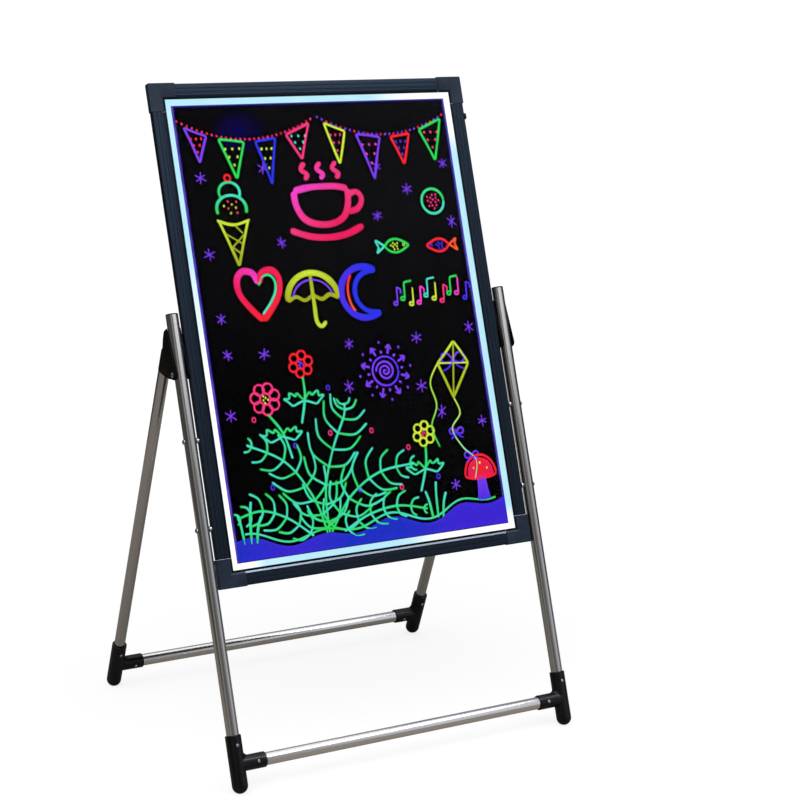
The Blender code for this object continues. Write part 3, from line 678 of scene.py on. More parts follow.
def corner_cap(name, angle, x, z):
    """The cap's section swept round an L: along one arm, round the outer corner with a small radius,
    and along the other; inside that radius the section keeps a sharp mitre."""
    back, inner_back = rail_depth + cap_proud, rail_depth - wall_back
    slot = cap_stand_out + panel_margin - gap
    facet_end = cap_lip - lip_slope
    section = np.array([(0, -cap_proud), (facet_end - lip_facet, -cap_proud),
                        (facet_end, facet_drop - cap_proud), (cap_lip, lip_drop - cap_proud / 2),
                        (cap_lip, wall_front), (slot, wall_front), (slot, inner_back),
                        (cap_lip, inner_back), (cap_lip, back), (0, back), (0, -cap_proud)])
    width, depth = section.T
    round_left = np.maximum(cap_outer_round - width, 0)
    centre = np.maximum(width, cap_outer_round)
    rows = [np.stack([np.full_like(width, cap_arm), depth - half_depth, width], axis=-1)]
    for turn in np.linspace(0, pi / 2, arc_steps + 1):
        rows.append(np.stack([centre - round_left * sin(turn), depth - half_depth,
                              centre - round_left * cos(turn)], axis=-1))
    rows.append(np.stack([width, depth - half_depth, np.full_like(width, cap_arm)], axis=-1))
    mesh = mesh_of(name, [np.array(rows)], [rows[0][:-1], rows[-1][:-1]])
    # Painted shade on the slope of the cap's lip
    accents = [(lip_painted_shade, lambda c: c[1] < lip_back and min(c[0], c[2]) > facet_end)]
    # Painted highlight on the facets of the bottom caps
    if "bottom" in name:
        level = 2 if "left" in name else 0
        accents.append((cap_painted_highlight, lambda c: c[1] < lip_back and c[level] == min(c[0], c[2])
                        and 0 < facet_end - c[level] < lip_facet))
    show(name + "_moulding", mesh, cap_finish, STAND, on_side(angle, x, z), [name], bevel=cap_bevel,
         accents=accents)


corner_cap("corner_cap_bottom_left", 0, -half_width, 0)
corner_cap("corner_cap_top_left", pi / 2, -half_width, board_height)
corner_cap("corner_cap_top_right", pi, half_width, board_height)
corner_cap("corner_cap_bottom_right", -pi / 2, half_width, 0)


# The layers in the channel
def sheet(name, half_x, half_z, front, thickness, corner, finish, node):
    """A flat sheet centred on the board, with round corners."""
    outline = rounded([(-half_x, -half_z, corner), (half_x, -half_z, corner), (half_x, half_z, corner),
                       (-half_x, half_z, corner)], closed=True)
    wall, ends = extrude(outline, -front - thickness, -front, "Y")
    mesh = mesh_of(name, [moved(wall, z=mid_height)], [moved(end, z=mid_height) for end in ends])
    show(name, mesh, finish, STAND, on_board, [node])


panel_half_x = rail_x - panel_margin
panel_half_z = mid_height - cap_stand_out - panel_margin
sheet("clear_writing_panel", panel_half_x, panel_half_z, panel_front, panel_thickness, panel_corner, acrylic,
      "writing_panel")
sheet("black_film_sheet", sheet_half_x, sheet_half_z, sheet_front, sheet_thickness, 0, film, "black_sheet")


def border_ring():
    """The white film as a ring: its section, a thin rectangle, carried round the sheet's four corners."""
    inner = (sheet_half_x + gap, sheet_half_z + gap)
    rows = []
    for reach_x, reach_z, depth in ((panel_half_x, panel_half_z, 0), (*inner, 0), (*inner, sheet_thickness),
                                    (panel_half_x, panel_half_z, sheet_thickness),
                                    (panel_half_x, panel_half_z, 0)):
        corners = np.array([(-1, -1), (1, -1), (1, 1), (-1, 1), (-1, -1)])
        rows.append(np.stack([corners[:, 0] * reach_x, np.full(len(corners), sheet_front + depth),
                              corners[:, 1] * reach_z + mid_height], axis=-1))
    show("lit_border_film", mesh_of("lit_border_film", [np.array(rows)]), border_finish, STAND, on_board,
         ["light_border"])


border_ring()


# Tubes
def closed_ring(profile):
    """A profile with its first point repeated at its end."""
    return np.concatenate([profile, profile[:1]])


def tube_profile(radius, low, high):
    """The wall of a tube as (radius, height), its ends broken by a small radius."""
    inner = radius - tube_wall
    ends = ((inner, low), (radius, low), (radius, high), (inner, high))
    return closed_ring(rounded([(*end, tube_round) for end in ends], closed=True))


for word, side in sides.items():
    leg = revolve(tube_profile(leg_radius, socket_floor + gap, leg_length))
    rim, low = leg_length + gap, leg_length - plug_length
    inner = leg_radius - tube_wall - gap
    plug = rounded([(0, rim + plug_rim, 0), (leg_radius, rim + plug_rim, plug_crown),
                    (leg_radius, rim, fine_round), (inner, rim, 0), (inner, low, 0.8 * MM), (0, low, 0)])
    for name, ending, grid, finish in (("front_leg_" + word, "_tube", leg, leg_steel),
                                       ("leg_plug_" + word, "_cap", revolve(plug), plug_finish)):
        show(name + ending, mesh_of(name, [grid]), finish, STAND,
             lambda p: on_stand(moved(p, side * leg_x)), [name])


def crossbar(name, body, place):
    """A tube between two tee feet, along X."""
    reach = leg_x - arm_floor - gap
    bar = revolve(tube_profile(bar_radius, -reach, reach), "X")
    # The bars' steel is painted lighter than the legs'
    show(name + "_tube", mesh_of(name, [bar]), bar_steel_painted_lighter, body, place, [name])


crossbar("front_crossbar", STAND, lambda p: on_stand(moved(p, z=bar_height)))
crossbar("rear_crossbar", REAR, lambda p: on_rear(moved(p, y=rear_offset, z=bar_height - rear_length)))


def rear_leg(word, side):
    """The rear tube: its upper end is mitred, so its height falls along the mouth's slant."""
    grid = revolve(tube_profile(rear_leg_radius, socket_floor + gap - rear_length, mouth_back))
    slope = (mouth_back - mouth_front) / (2 * rear_leg_radius)
    mitre = (mouth_back + mouth_front) / 2 - gap + slope * grid[..., 1]
    high = grid[..., 2] > mouth_back - 1.0 * MM
    grid[..., 2] = np.where(high, grid[..., 2] - mouth_back + mitre, grid[..., 2])
    name = "rear_leg_" + word
    show(name + "_tube", mesh_of(name, [grid]), leg_steel, REAR,
         lambda p: on_rear(moved(p, side * leg_x, rear_offset)), [name])


for word, side in sides.items():
    rear_leg(word, side)


# Tee feet
def foot_post(radius):
    """The upright of a tee foot: ball end, straight wall, rolled rim and the leg's socket."""
    low = foot_radius - foot_flat
    t = np.linspace(0, pi / 2, 25)
    ball = np.stack([foot_radius * np.sin(t), low - foot_radius * np.cos(t)], axis=-1)
    rim = rounded([(foot_radius, low, 0), (foot_radius, socket_top, socket_rim),
                   (radius + gap, socket_top, ring_round), (radius + gap, socket_floor, 0),
                   (0, socket_floor, 0)])
    return revolve(np.concatenate([ball, rim[1:]]))


def foot_arm(inward):
    """The arm towards the crossbar. Near the post its radius grows by a fillet that is full on top and
    fades as cos^2.4 of the angle from the top: r = arm + f - sqrt(f^2 - (f - u)^2), u from the post."""
    t = np.linspace(0, 2 * pi, round_sides + 1)
    fillet = web_radius * np.maximum(np.cos(t), 0) ** 2.4 + 0.02 * MM
    share = (1 - np.cos(np.linspace(0, pi / 2, 13)))[:, None]
    bury = 0.12 * MM
    away = fillet * share
    radius = arm_radius + fillet - np.sqrt(np.maximum(fillet ** 2 - (fillet - away) ** 2, 0))
    post = np.sqrt(np.maximum(foot_radius ** 2 - (radius * np.sin(t)) ** 2, (2 * MM) ** 2))
    along = post + away - bury
    inside = post[:1] - 2 * MM
    rim = rounded([(arm_radius, arm_reach - 4 * MM, 0), (arm_radius, arm_reach, socket_rim),
                   (bar_radius - 1 * MM, arm_reach, 0)])
    pole, ends = np.zeros((1, len(t))), np.repeat(rim.T[:, :, None], len(t), axis=2)
    r = np.concatenate([pole, radius[:1], radius, ends[0], pole])
    c = np.concatenate([pole + 3 * MM, inside, along, ends[1], pole + arm_reach])
    return np.stack([inward * c, r * np.sin(t), r * np.cos(t) + bar_height], axis=-1)


def tee_foot(name, word, stem, body, place, inward, radius):
    """A moulded tee foot: post and arm fused, the crossbar's socket cut, the ball end flat on the floor."""
    post = mesh_of(name, [foot_post(radius)])
    arm = mesh_of(name + "_arm", [foot_arm(inward)])
    bore = rounded([(0, arm_reach + 1 * MM, 0), (bar_radius + gap, arm_reach + 1 * MM, 0),
                    (bar_radius + gap, arm_floor, 0), (0, arm_floor, 0)])
    cut = mesh_of(name + "_bore", [moved(revolve(bore, "X" if inward > 0 else "-X"), z=bar_height)])
    body_mesh = worked(name, post, [(arm, "UNION"), (cut, "DIFFERENCE")])

    def grounded(points):
        out = place(points)
        out[:, 2] = np.maximum(out[:, 2], 0)
        return out
    show(name + "_moulding", body_mesh, foot_finish, body, grounded, [name], sharp=38)
    spots = {"leg": (0, foot_radius, socket_top - foot_screw_setback),
             "bar": (inward * (arm_reach - foot_screw_setback), arm_radius, bar_height)}
    for label, (x, surface, z) in spots.items():
        node = stem + "_foot_screw_" + label + "_" + word
        screw = headed(foot_screw_head, foot_screw_height, foot_screw_shank, 0, -foot_screw_tip,
                       foot_screw_socket, "Y")
        show(node + "_head", mesh_of(node, [screw]), screw_finish, body,
             lambda p, x=x, s=surface, z=z: place(moved(p, x, -s - gap, z)), [node], sharp=40)


def headed(head, height, shank, seat, tip, socket, axis):
    """A domed head with a six-sided recess, on its shank: in the recess the radius is the apothem over
    the cosine of the angle from the nearest flat."""
    t = np.linspace(0, 2 * pi, head_sides + 1)
    hexagon = socket / np.cos((t + pi / 6) % (pi / 3) - pi / 6)
    top, floor = seat + height, seat + height * 0.35
    dome = rounded([(0, top, 0), (head * 0.62, top, soft_round), (head, seat + height * 0.4, 0.5 * MM),
                    (head, seat, fine_round), (shank, seat, 0), (shank, tip, soft_round), (0, tip, 0)])[1:]
    centre, walls = np.zeros((1, len(t))), np.repeat(dome.T[:, :, None], len(t), axis=2)
    r = np.concatenate([centre, hexagon[None], hexagon[None], walls[0]])
    c = np.concatenate([centre + floor, centre + floor, centre + top, walls[1]])
    return to_axis(r * np.cos(t), r * np.sin(t), c, axis)


for word, side in sides.items():
    tee_foot("front_foot_" + word, word, "front", STAND,
             lambda p, s=side: on_stand(moved(p, s * leg_x)), -side, leg_radius)
    tee_foot("rear_foot_" + word, word, "rear", REAR,
             lambda p, s=side: on_rear(moved(p, s * leg_x, rear_offset, -rear_length)), -side,
             rear_leg_radius)


# Bolts, spacers and washers that hold the board and the hinge
rail_face = leg_x - rail_x
bolt_tip = -(rail_face + rail_wall + gap + nut_thickness + bolt_past_nut)
for word, side in sides.items():
    axis = "X" if side > 0 else "-X"
    for label, height in {**bolt_heights, "hinge": pivot_height}.items():
        hinged = label == "hinge"
        at_bolt = lambda p, s=side, h=height: on_stand(moved(p, s * leg_x, 0, h))
        node = "hinge_bolt_" + word if hinged else "board_bolt_" + label + "_" + word
        seat = (fork_half if hinged else leg_radius) + gap
        bolt = headed(bolt_head, bolt_head_height, bolt_radius, seat, bolt_tip, bolt_socket, axis)
        show(node + "_head", mesh_of(node, [bolt]), screw_finish, STAND, at_bolt, [node], sharp=40)
        node = "hinge_washer_" + word if hinged else "board_spacer_" + label + "_" + word
        radius = washer_radius if hinged else spacer_radius
        ring = rounded([(bolt_hole, -rail_face + gap, fine_round), (radius, -rail_face + gap, ring_round),
                        (radius, -seat, ring_round), (bolt_hole, -seat, fine_round)], closed=True)
        show(node + "_ring", mesh_of(node, [revolve(closed_ring(ring), axis, ring_sides)]),
             plug_finish if hinged else screw_finish, STAND, at_bolt, [node], sharp=40)


# Hinge arms
def up_front_leg(along, behind):
    """A place by its distance up the front leg from the pivot and behind the leg's axis."""
    return (along * sin(opening_angle) + behind * cos(opening_angle),
            along * cos(opening_angle) - behind * sin(opening_angle))


def parabola(start, control, end, steps):
    """Points on a parabola from start to end, drawn towards control."""
    t = np.linspace(0, 1, steps + 1)[:, None]
    return np.array(start) * (1 - t) ** 2 + np.array(control) * 2 * t * (1 - t) + np.array(end) * t ** 2


def fork_outline():
    """The side view of the fork: a lug round the pivot, a wedge up the leg and an arched underside."""
    lug = arc((0, 0), lug_radius, -pi / 2, -(pi + opening_angle), 24)
    back = [(rear_offset * out, fork_top_reach * up) for out, up in fork_back_shares]
    corner_out, corner_up = back[0]
    top = (corner_out, corner_up + fork_corner)
    crown = parabola((corner_out - fork_corner, corner_up + 2 * fork_corner), top, back[0], 10)
    foot = (rear_offset * fork_foot_shares[0], mouth_front * fork_foot_shares[1])
    crotch = (rear_offset * crotch_bend_shares[0], mouth_front * crotch_bend_shares[1])
    under = parabola(foot, crotch, (0, -lug_radius), 16)[:-1]
    return np.concatenate([lug, [up_front_leg(fork_top_reach, fork_front_step)], crown, back[1:], under])


def hinge_arm(name, side):
    """One moulded arm: the fork with softened rims, the leg's slot cut out, fused with its sleeve."""
    wall, ends = extrude(fork_outline(), -fork_half, fork_half, "X")
    fork = mesh_of(name, [wall], ends)
    bm = bmesh.new()
    bm.from_mesh(fork)
    rims = [e for e in bm.edges if abs(abs(e.verts[0].co.x) - fork_half) < gap
            and abs(e.verts[0].co.x - e.verts[1].co.x) < gap]
    bmesh.ops.bevel(bm, geom=rims, offset=fork_edge, segments=4, profile=0.5, affect="EDGES")
    bm.to_mesh(fork)
    bm.free()
    barrel = rear_leg_radius + barrel_step
    low = mouth_front + mouth_back
    profile = rounded([(0, barrel_top, 0), (barrel, barrel_top, barrel_round), (barrel, low, 0),
                       (0, low, 0)], steps=12)
    sleeve = mesh_of(name + "_sleeve", [moved(revolve(profile), y=rear_offset)])
    reach = 2 * rear_leg_radius
    slope = (mouth_back - mouth_front) / reach
    line = [(rear_offset + step, (mouth_back + mouth_front) / 2 + slope * step) for step in (reach, -reach)]
    block = line + [(rear_offset - reach, 2 * low), (rear_offset + reach, 2 * low)]
    wall, ends = extrude(block, -2 * fork_half, 2 * fork_half, "X")
    mouth = mesh_of(name + "_mouth", [wall], ends)
    sleeve = worked(name + "_sleeve", sleeve, [(mouth, "DIFFERENCE")])
    clear, far = leg_radius + gap, 2 * fork_top_reach
    meet = clear / cos(opening_angle / 2)
    crossing = (meet * cos(opening_angle / 2), -meet * sin(opening_angle / 2))
    slot = [up_front_leg(far, -far), up_front_leg(far, clear), crossing, (clear, -far), (-far, -far)]
    wall, ends = extrude(slot, -clear, clear, "X")
    slot_mesh = mesh_of(name + "_slot", [wall], ends)
    eye = revolve([(0, 2 * fork_half), (bolt_hole, 2 * fork_half), (bolt_hole, -2 * fork_half),
                   (0, -2 * fork_half)], "X", head_sides)
    eye_mesh = mesh_of(name + "_eye", [eye])
    arm = worked(name, fork, [(sleeve, "UNION"), (slot_mesh, "DIFFERENCE"), (eye_mesh, "DIFFERENCE")])
    show(name + "_moulding", arm, arm_finish, REAR, lambda p: on_rear(moved(p, side * leg_x)), [name],
         sharp=30)


for word, side in sides.items():
    hinge_arm("hinge_arm_" + word, side)


# The power inlet on the right rail
def power_inlet():
    """A slot-shaped boss with a softened face, a round bore and the contact pin in it."""
    radius, half = inlet_width / 2, (inlet_length - inlet_width) / 2
    outline = np.concatenate([arc((0, half), radius, 0, pi, 24), arc((0, -half), radius, pi, 2 * pi, 24)])
    wall, ends = extrude(outline, gap, inlet_stand_out, "X")
    boss = mesh_of("power_inlet", [wall], ends)
    pin_top, high = inlet_stand_out - 1 * MM, inlet_stand_out + 1 * MM
    bore = np.array([(inlet_pin, pin_top), (inlet_pin, -inlet_depth), (inlet_bore, -inlet_depth),
                     (inlet_bore, high), (0, high), (0, pin_top)])
    tool = mesh_of("inlet_bore", [revolve(closed_ring(bore), "X", head_sides)])
    made = worked("power_inlet", boss, [(tool, "DIFFERENCE")])
    show("power_inlet_socket", made, foot_finish, STAND,
         lambda p: on_board(moved(p, rail_x, 0, inlet_place)), ["power_inlet"], bevel=inlet_bevel)


power_inlet()

# CAD nodes that show as they are take a finish
for node in [o for o in bpy.data.objects if o.get("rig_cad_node")]:
    for stem, finish in (("led_strip", strip_finish), ("control_board", board_finish),
                         ("slot_nut", screw_finish), ("backing_board", backing_finish)):
        if stem in node.name:
            node.data.materials.clear()
            node.data.materials.append(finish)

# The drawing on the panel: millimetres from the panel's centre, x to the right and z up. A stroke stands
# ink_gap off the panel and ink_height thick, its path cut every ink_step and its width varied every
# press_step
inks = {key: np.array(linear(tone)) for key, tone in {
    "pink": "f93fd0", "rose": "f5357f", "crimson": "f2175f", "red": "fb1c2c", "orange": "ff5a2a",
    "deep": "1a2ecc", "dusk": "3c22dc", "violet": "7b3df6", "indigo": "4b2bf0", "blue": "2430ee",
    "green": "27df55", "aqua": "48e2cc", "lime": "d2ec3a", "olive": "a9b41f"}.items()}
hand = np.random.default_rng(20)
ink_gap = 0.03
ink_height = 0.12
ink_step = 2.6
press_step = 18
lens = np.array([(-1, 0), (-0.6, 0.8), (0, 1), (0.6, 0.8), (1, 0), (-1, 0)])
rim_shade = np.array([0.8, 0.95, 1, 0.95, 0.8, 0.8])
ink_grids, ink_tints = [], []


def pairs(x, z):
    """Places on the panel from their x and z."""
    return np.stack([x, z], axis=-1)


def ink_blend(names, share):
    """Colours along a stroke: the named inks follow each other at even shares, mixed in linear light."""
    table = np.array([inks[name] for name in names])
    places = np.linspace(0, 1, len(table))
    return np.stack([np.interp(share, places, table[:, i]) for i in range(4)], axis=-1)


def stroke(path, width, *names, span=(0, 1)):
    """A marker stroke: a lens-shaped section of half width r sqrt(1 - e^2) along the path, where e falls
    from 1 at a tip to 0 a distance r from it; the hand's pressure varies the width."""
    path = np.asarray(path, float)
    lengths = np.append(0, np.cumsum(np.hypot(*np.diff(path, axis=0).T)))
    total, r = lengths[-1], width / 2
    short = min(r, total / 2)
    tip = short * (1 - np.cos(np.radians([0, 25, 45, 65])))
    inner = np.linspace(short, total - short, max(int(total / ink_step), 1) + 1)
    s = np.unique(np.round(np.concatenate([tip, inner, total - tip]), 4))
    place = pairs(*(np.interp(s, lengths, way) for way in path.T))
    ahead = np.gradient(place, s, axis=0)
    ahead /= np.hypot(*ahead.T)[:, None]
    e = np.clip(np.maximum(1 - s / r, 1 - (total - s) / r), 0, 1)
    knots = max(int(total / press_step), 2) + 1
    press = np.interp(s, np.linspace(0, total, knots), hand.uniform(0.86, 1.1, knots))
    half = r * np.sqrt(1 - e ** 2) * press
    across = lens[None, :, :1] * half[:, None, None]
    normal = pairs(-ahead[:, 1], ahead[:, 0])[:, None]
    flat = place[:, None] + across * normal
    lift = ink_gap + hand.uniform(0, 0.02) + lens[None, :, 1] * ink_height * (half / r)[:, None]
    ink_grids.append(np.stack([flat[..., 0], -lift, flat[..., 1]], axis=-1) * MM)
    tint = ink_blend(names, span[0] + (span[1] - span[0]) * s / total)[:, None] * rim_shade[None, :, None]
    tint[..., 3] = 1
    ink_tints.append(tint)


def smooth(points, steps=9):
    """A Catmull-Rom curve through points."""
    p = np.asarray(points, float)
    p = np.concatenate([p[:1], p, p[-1:]])
    t = np.linspace(0, 1, steps, endpoint=False)[:, None]
    out = []
    for a, b, c, d in zip(p, p[1:], p[2:], p[3:]):
        out.append(b + 0.5 * t * (c - a + t * (2 * a - 5 * b + 4 * c - d + t * (3 * (b - c) + d - a))))
    return np.concatenate([*out, p[-2:-1]])


def curve(points, width, *names):
    """A marker stroke along a smooth curve through points."""
    stroke(smooth(points), width, *names)


def corners(points, width, *names):
    """Straight strokes from point to point, their inks running on from one to the next."""
    count = len(points) - 1
    for i, (start, end) in enumerate(zip(points, points[1:])):
        wobble = (np.array(start) + np.array(end)) / 2 + hand.uniform(-0.8, 0.8, 2)
        stroke(smooth([start, wobble, end]), width, *names, span=(i / count, (i + 1) / count))


def oval(x, z, rx, rz, start=0.0, turn=2 * pi):
    """Points on an oval, starting at an angle from the right."""
    return arc((0, 0), 1, start, start + turn, 28) * (rx, rz) + (x, z)


def dots(places, size, *names):
    """Short dabs, each a little longer than wide."""
    for i, (x, z) in enumerate(places):
        lean_by = hand.uniform(-0.3, 0.3) * size
        stroke([(x - lean_by, z - size * 0.6), (x + lean_by, z + size * 0.6)], size, names[i % len(names)])


def seeds(x, z, reach, count):
    """Places that fill a round patch evenly: each turns by the golden angle, its distance sqrt(i)."""
    i = np.arange(count) + 0.5
    angle, away = i * pi * (3 - 5 ** 0.5), reach * np.sqrt(i / count)
    return pairs(x + away * np.cos(angle), z + away * np.sin(angle))


def filled(low, high, *names):
    """A patch of ink between two curves of equal count that meet at both ends."""
    low, high = np.asarray(low, float), np.asarray(high, float)
    share = np.array([0, 0.02, 0.35, 0.65, 0.98, 1, 0])[None, :, None]
    rise = np.array([0, 1, 1, 1, 1, 0, 0]) * ink_height * 0.8
    flat = low[:, None] * (1 - share) + high[:, None] * share
    lift = np.repeat((ink_gap + 0.01 + rise)[None], len(low), axis=0)
    ink_grids.append(np.stack([flat[..., 0], -lift, flat[..., 1]], axis=-1) * MM)
    tint = np.repeat(ink_blend(names, np.linspace(0, 1, len(low)))[:, None], 7, axis=1)
    ink_tints.append(tint * np.array([1, 1, 0.9, 0.9, 1, 1, 1])[None, :, None])


def spark(x, z, size):
    """A small violet asterisk of three crossing strokes."""
    for angle in np.radians([88, 32, 148]) + hand.uniform(-0.15, 0.15, 3):
        step = np.array([np.cos(angle), np.sin(angle)]) * size / 2 * hand.uniform(0.85, 1.1)
        stroke([(x, z) - step, (x, z) + step], 2.0, "violet")


def bunting():
    """Two swags of dabs with eight triangular flags, dotted inside."""
    frames = ("violet", "green", "blue", "rose", "lime", "violet", "red", "green")
    fills = ("red", "lime", "lime", "aqua", "rose", "pink", "indigo", "rose")
    for swag, start in enumerate((-256, 4)):
        sag = lambda x: 352 - 34 * (1 - ((x - start - 126) / 126) ** 2)
        along = np.arange(start, start + 254, 8.5)
        dots([(x, sag(x)) for x in along], 3.6, *(("violet", "violet", "red") if swag else ("red", "rose")))
        for i in range(4):
            k = 4 * swag + i
            x = start + 30 + 63 * i
            top, wide, tall = sag(x) - 6, 19 + 4 * (k % 2), 50 + 12 * (k % 3)
            corners([(x - wide, sag(x - wide) - 5), (x + wide, sag(x + wide) - 5), (x + 1, top - tall),
                     (x - wide, sag(x - wide) - 5)], 4.6, frames[k])
            for row, share in enumerate((0.14, 0.36, 0.58)):
                reach = wide * (1 - share) - 7
                count = 3 - row
                spread = np.linspace(-reach, reach, count) * (count > 1)
                dots([(x + step, top - tall * share - 3) for step in spread], 4.0, fills[k])


def cup():
    """A thick cup with a handle on its saucer, and three curls of steam."""
    curve([(-62, 226), (-60, 200), (-48, 178), (-26, 168), (2, 167), (26, 177), (38, 198), (42, 226)],
           13, "pink", "rose", "crimson", "rose")
    curve([(-62, 226), (-34, 231), (-8, 232), (20, 231), (42, 226)], 12, "pink", "rose")
    curve([(42, 216), (58, 220), (66, 207), (56, 191), (36, 186)], 11, "rose", "crimson")
    curve([(-78, 160), (-44, 148), (-8, 144), (28, 148), (62, 161)], 12, "rose", "crimson", "crimson")
    for x, tone in ((-38, "rose"), (-8, "pink"), (22, "rose")):
        curve([(x, 245), (x + 7, 253), (x - 4, 263), (x + 5, 274)], 9, tone, "rose")


def ice_cream():
    """A cone with a crossed waffle, two scoops and a berry."""
    corners([(-206, 182), (-181, 106), (-154, 180)], 5, "lime", "olive", "lime")
    for start, end in (((-199, 162), (-168, 142)), ((-193, 142), (-174, 126)), ((-162, 160), (-190, 136)),
                       ((-183, 179), (-166, 160))):
        stroke([start, end], 3, "olive")
    curve([(-210, 184), (-181, 175), (-150, 182)], 5, "lime")
    stroke(oval(-180, 202, 27, 23, -0.35, pi + 0.7), 5.5, "green", "aqua", "green")
    stroke(oval(-180, 230, 19, 17, -0.5, pi + 1.0), 5, "aqua", "green")
    dots(seeds(-180, 206, 15, 8), 3.4, "lime", "rose")
    stroke(oval(-180, 254, 5.5, 5.5), 4, "red")


def thick_signs():
    """Three bold signs of two inks each: a heart, an umbrella and a crescent."""
    left = smooth([(-152, 74), (-160, 92), (-178, 96), (-190, 82), (-188, 58), (-172, 34), (-152, 12)])
    right = smooth([(-152, 74), (-142, 92), (-124, 95), (-113, 81), (-116, 57), (-132, 33), (-152, 12)])
    stroke(left, 12, "pink", "crimson", "red")
    stroke(right, 12, "crimson", "red")
    stroke(right * (0.78, 0.78) + (-33, 13), 4.5, "green", "aqua")
    canopy = oval(-54, 40, 48, 46, 0, pi)
    stroke(canopy, 11, "olive", "lime", "olive")
    curve([(-102, 40), (-86, 47), (-70, 40), (-54, 47), (-38, 40), (-22, 47), (-6, 40)], 7, "olive")
    curve([(-54, 84), (-54, 30), (-54, 4), (-46, -6), (-36, 2)], 7, "olive", "lime")
    stroke(oval(-54, 40, 38, 34, 0.1, pi - 0.2), 3.6, "violet")
    tip, inner_tip = 0.916, 1.325
    stroke(oval(44, 46, 44, 44, tip, 2 * (pi - tip)), 12, "blue", "indigo", "blue")
    stroke(oval(62, 46, 36, 36, inner_tip, 2 * (pi - inner_tip)), 9, "blue")
    stroke(oval(33, 46, 20, 36, 2.1, 2 * pi - 4.2), 4.2, "red", "orange")


def fish(x, z, size, face, frame_ink, fill_ink, tail_ink):
    """A fish of two arcs with a forked tail, an eye and dabs for scales."""
    body = np.array([(-20, 0), (-10, 9), (4, 11), (18, 5), (26, 0)]) * (face * size, size) + (x, z)
    lower = body * (1, -1) + (0, 2 * z)
    curve(body, 4.4, frame_ink)
    curve(lower, 4.4, frame_ink)
    tail = np.array([(-20, 0), (-36, 11), (-31, 0), (-36, -11), (-20, 0)]) * (face * size, size) + (x, z)
    corners(tail, 4, tail_ink)
    dots(seeds(x - 1 * face * size, z, 8 * size, 8), 3.2, fill_ink)
    stroke(oval(x + 16 * face * size, z + 1, 2.2, 2.2), 2, fill_ink)


def notes():
    """A row of small music notes in changing inks."""
    tones = ("violet", "green", "lime", "pink", "aqua", "lime", "rose", "green", "pink", "indigo")
    for i, tone in enumerate(tones):
        x, z = 102 + 15.5 * i, 22 + 7 * sin(i * 1.9) + i * 0.8
        stroke(oval(x, z, 4.0, 3.0), 3.6, tone)
        stroke([(x + 4, z + 1), (x + 6, z + 28)], 3.4, tone)
        if i % 3 == 0:
            curve([(x + 6, z + 28), (x + 13, z + 23), (x + 12, z + 16)], 3.2, tone)
        elif i % 3 == 1:
            stroke([(x + 6, z + 28), (x + 21.5, z + 30)], 4, tone)


def sun():
    """A violet sun: a spiral in a ring, and rays that end in arrow tips or dabs."""
    x, z = 62, -92
    turn = np.linspace(0, 5 * pi, 60)
    stroke(pairs(x + 1.15 * turn * np.cos(turn), z + 1.15 * turn * np.sin(turn)), 4, "violet")
    stroke(oval(x, z, 25, 25), 4, "indigo", "violet", "indigo")
    for i in range(16):
        angle = i * pi / 8 + 0.1
        way = np.array([cos(angle), sin(angle)])
        side = np.array([-way[1], way[0]])
        far = 46 if i % 2 else 36
        stroke([(x, z) + way * 30, (x, z) + way * far], 4.4, "violet")
        if i % 2:
            for barb in (side * 6, side * -6):
                stroke([(x, z) + way * 47, (x, z) + way * 39 + barb], 3.2, "violet")
        else:
            dots([(x, z) + way * 50], 4, "violet")


def kite():
    """A kite with crossed spars, a violet bow on it and a long string with two small bows."""
    top, right, low, left = (204, -52), (228, -92), (188, -150), (166, -88)
    corners([top, right, low, left, top], 4.6, "lime", "olive", "lime")
    stroke([top, low], 3.2, "olive")
    stroke([left, right], 3.2, "lime")
    curve([low, (196, -178), (176, -204), (192, -238), (214, -262), (206, -296)], 3, "lime", "aqua")
    curve([left, (146, -120), (152, -160), (136, -196), (146, -232)], 3, "lime", "green")
    for x, z, size in ((198, -84, 17), (183, -210, 10), (206, -254, 10)):
        for way in (1, -1):
            loop = np.array([(0, 0), (0.6, 0.65), (1.25, 0.6), (1.3, -0.1), (0.7, -0.35), (0, 0)])
            curve(loop * (way * size, size) + (x, z), 3.6, "violet", "indigo")
            curve(np.array([(0, 0), (0.5, -0.7), (1.3, -1.1)]) * (way * size, size) + (x, z), 3, "indigo")


def frond(points, leaves, reach, *names):
    """A fern's frond: leaflets on both sides of a curved rib, longest before its middle, drawn from the
    rib outwards and bent towards its tip."""
    rib = smooth(points, 16)
    stroke(rib, 4.0, *names)
    for i in range(leaves):
        share = 0.08 + 0.88 * i / (leaves - 1)
        k = int(share * (len(rib) - 2))
        ahead = rib[k + 1] - rib[k]
        ahead = ahead / np.hypot(*ahead)
        size = reach * (0.25 + 0.75 * sin(pi * min(share * 0.8 + 0.22, 1)))
        for side in (1, -1):
            out = np.array([-ahead[1], ahead[0]]) * side
            size_here = size * hand.uniform(0.85, 1.1)
            bend = rib[k] + out * size_here * 0.55 + ahead * size_here * 0.22
            end = rib[k] + out * size_here * 0.8 + ahead * size_here * 0.72
            curve([rib[k], bend, end], 3.9, *(names if (i + side) % 3 else names[::-1]))


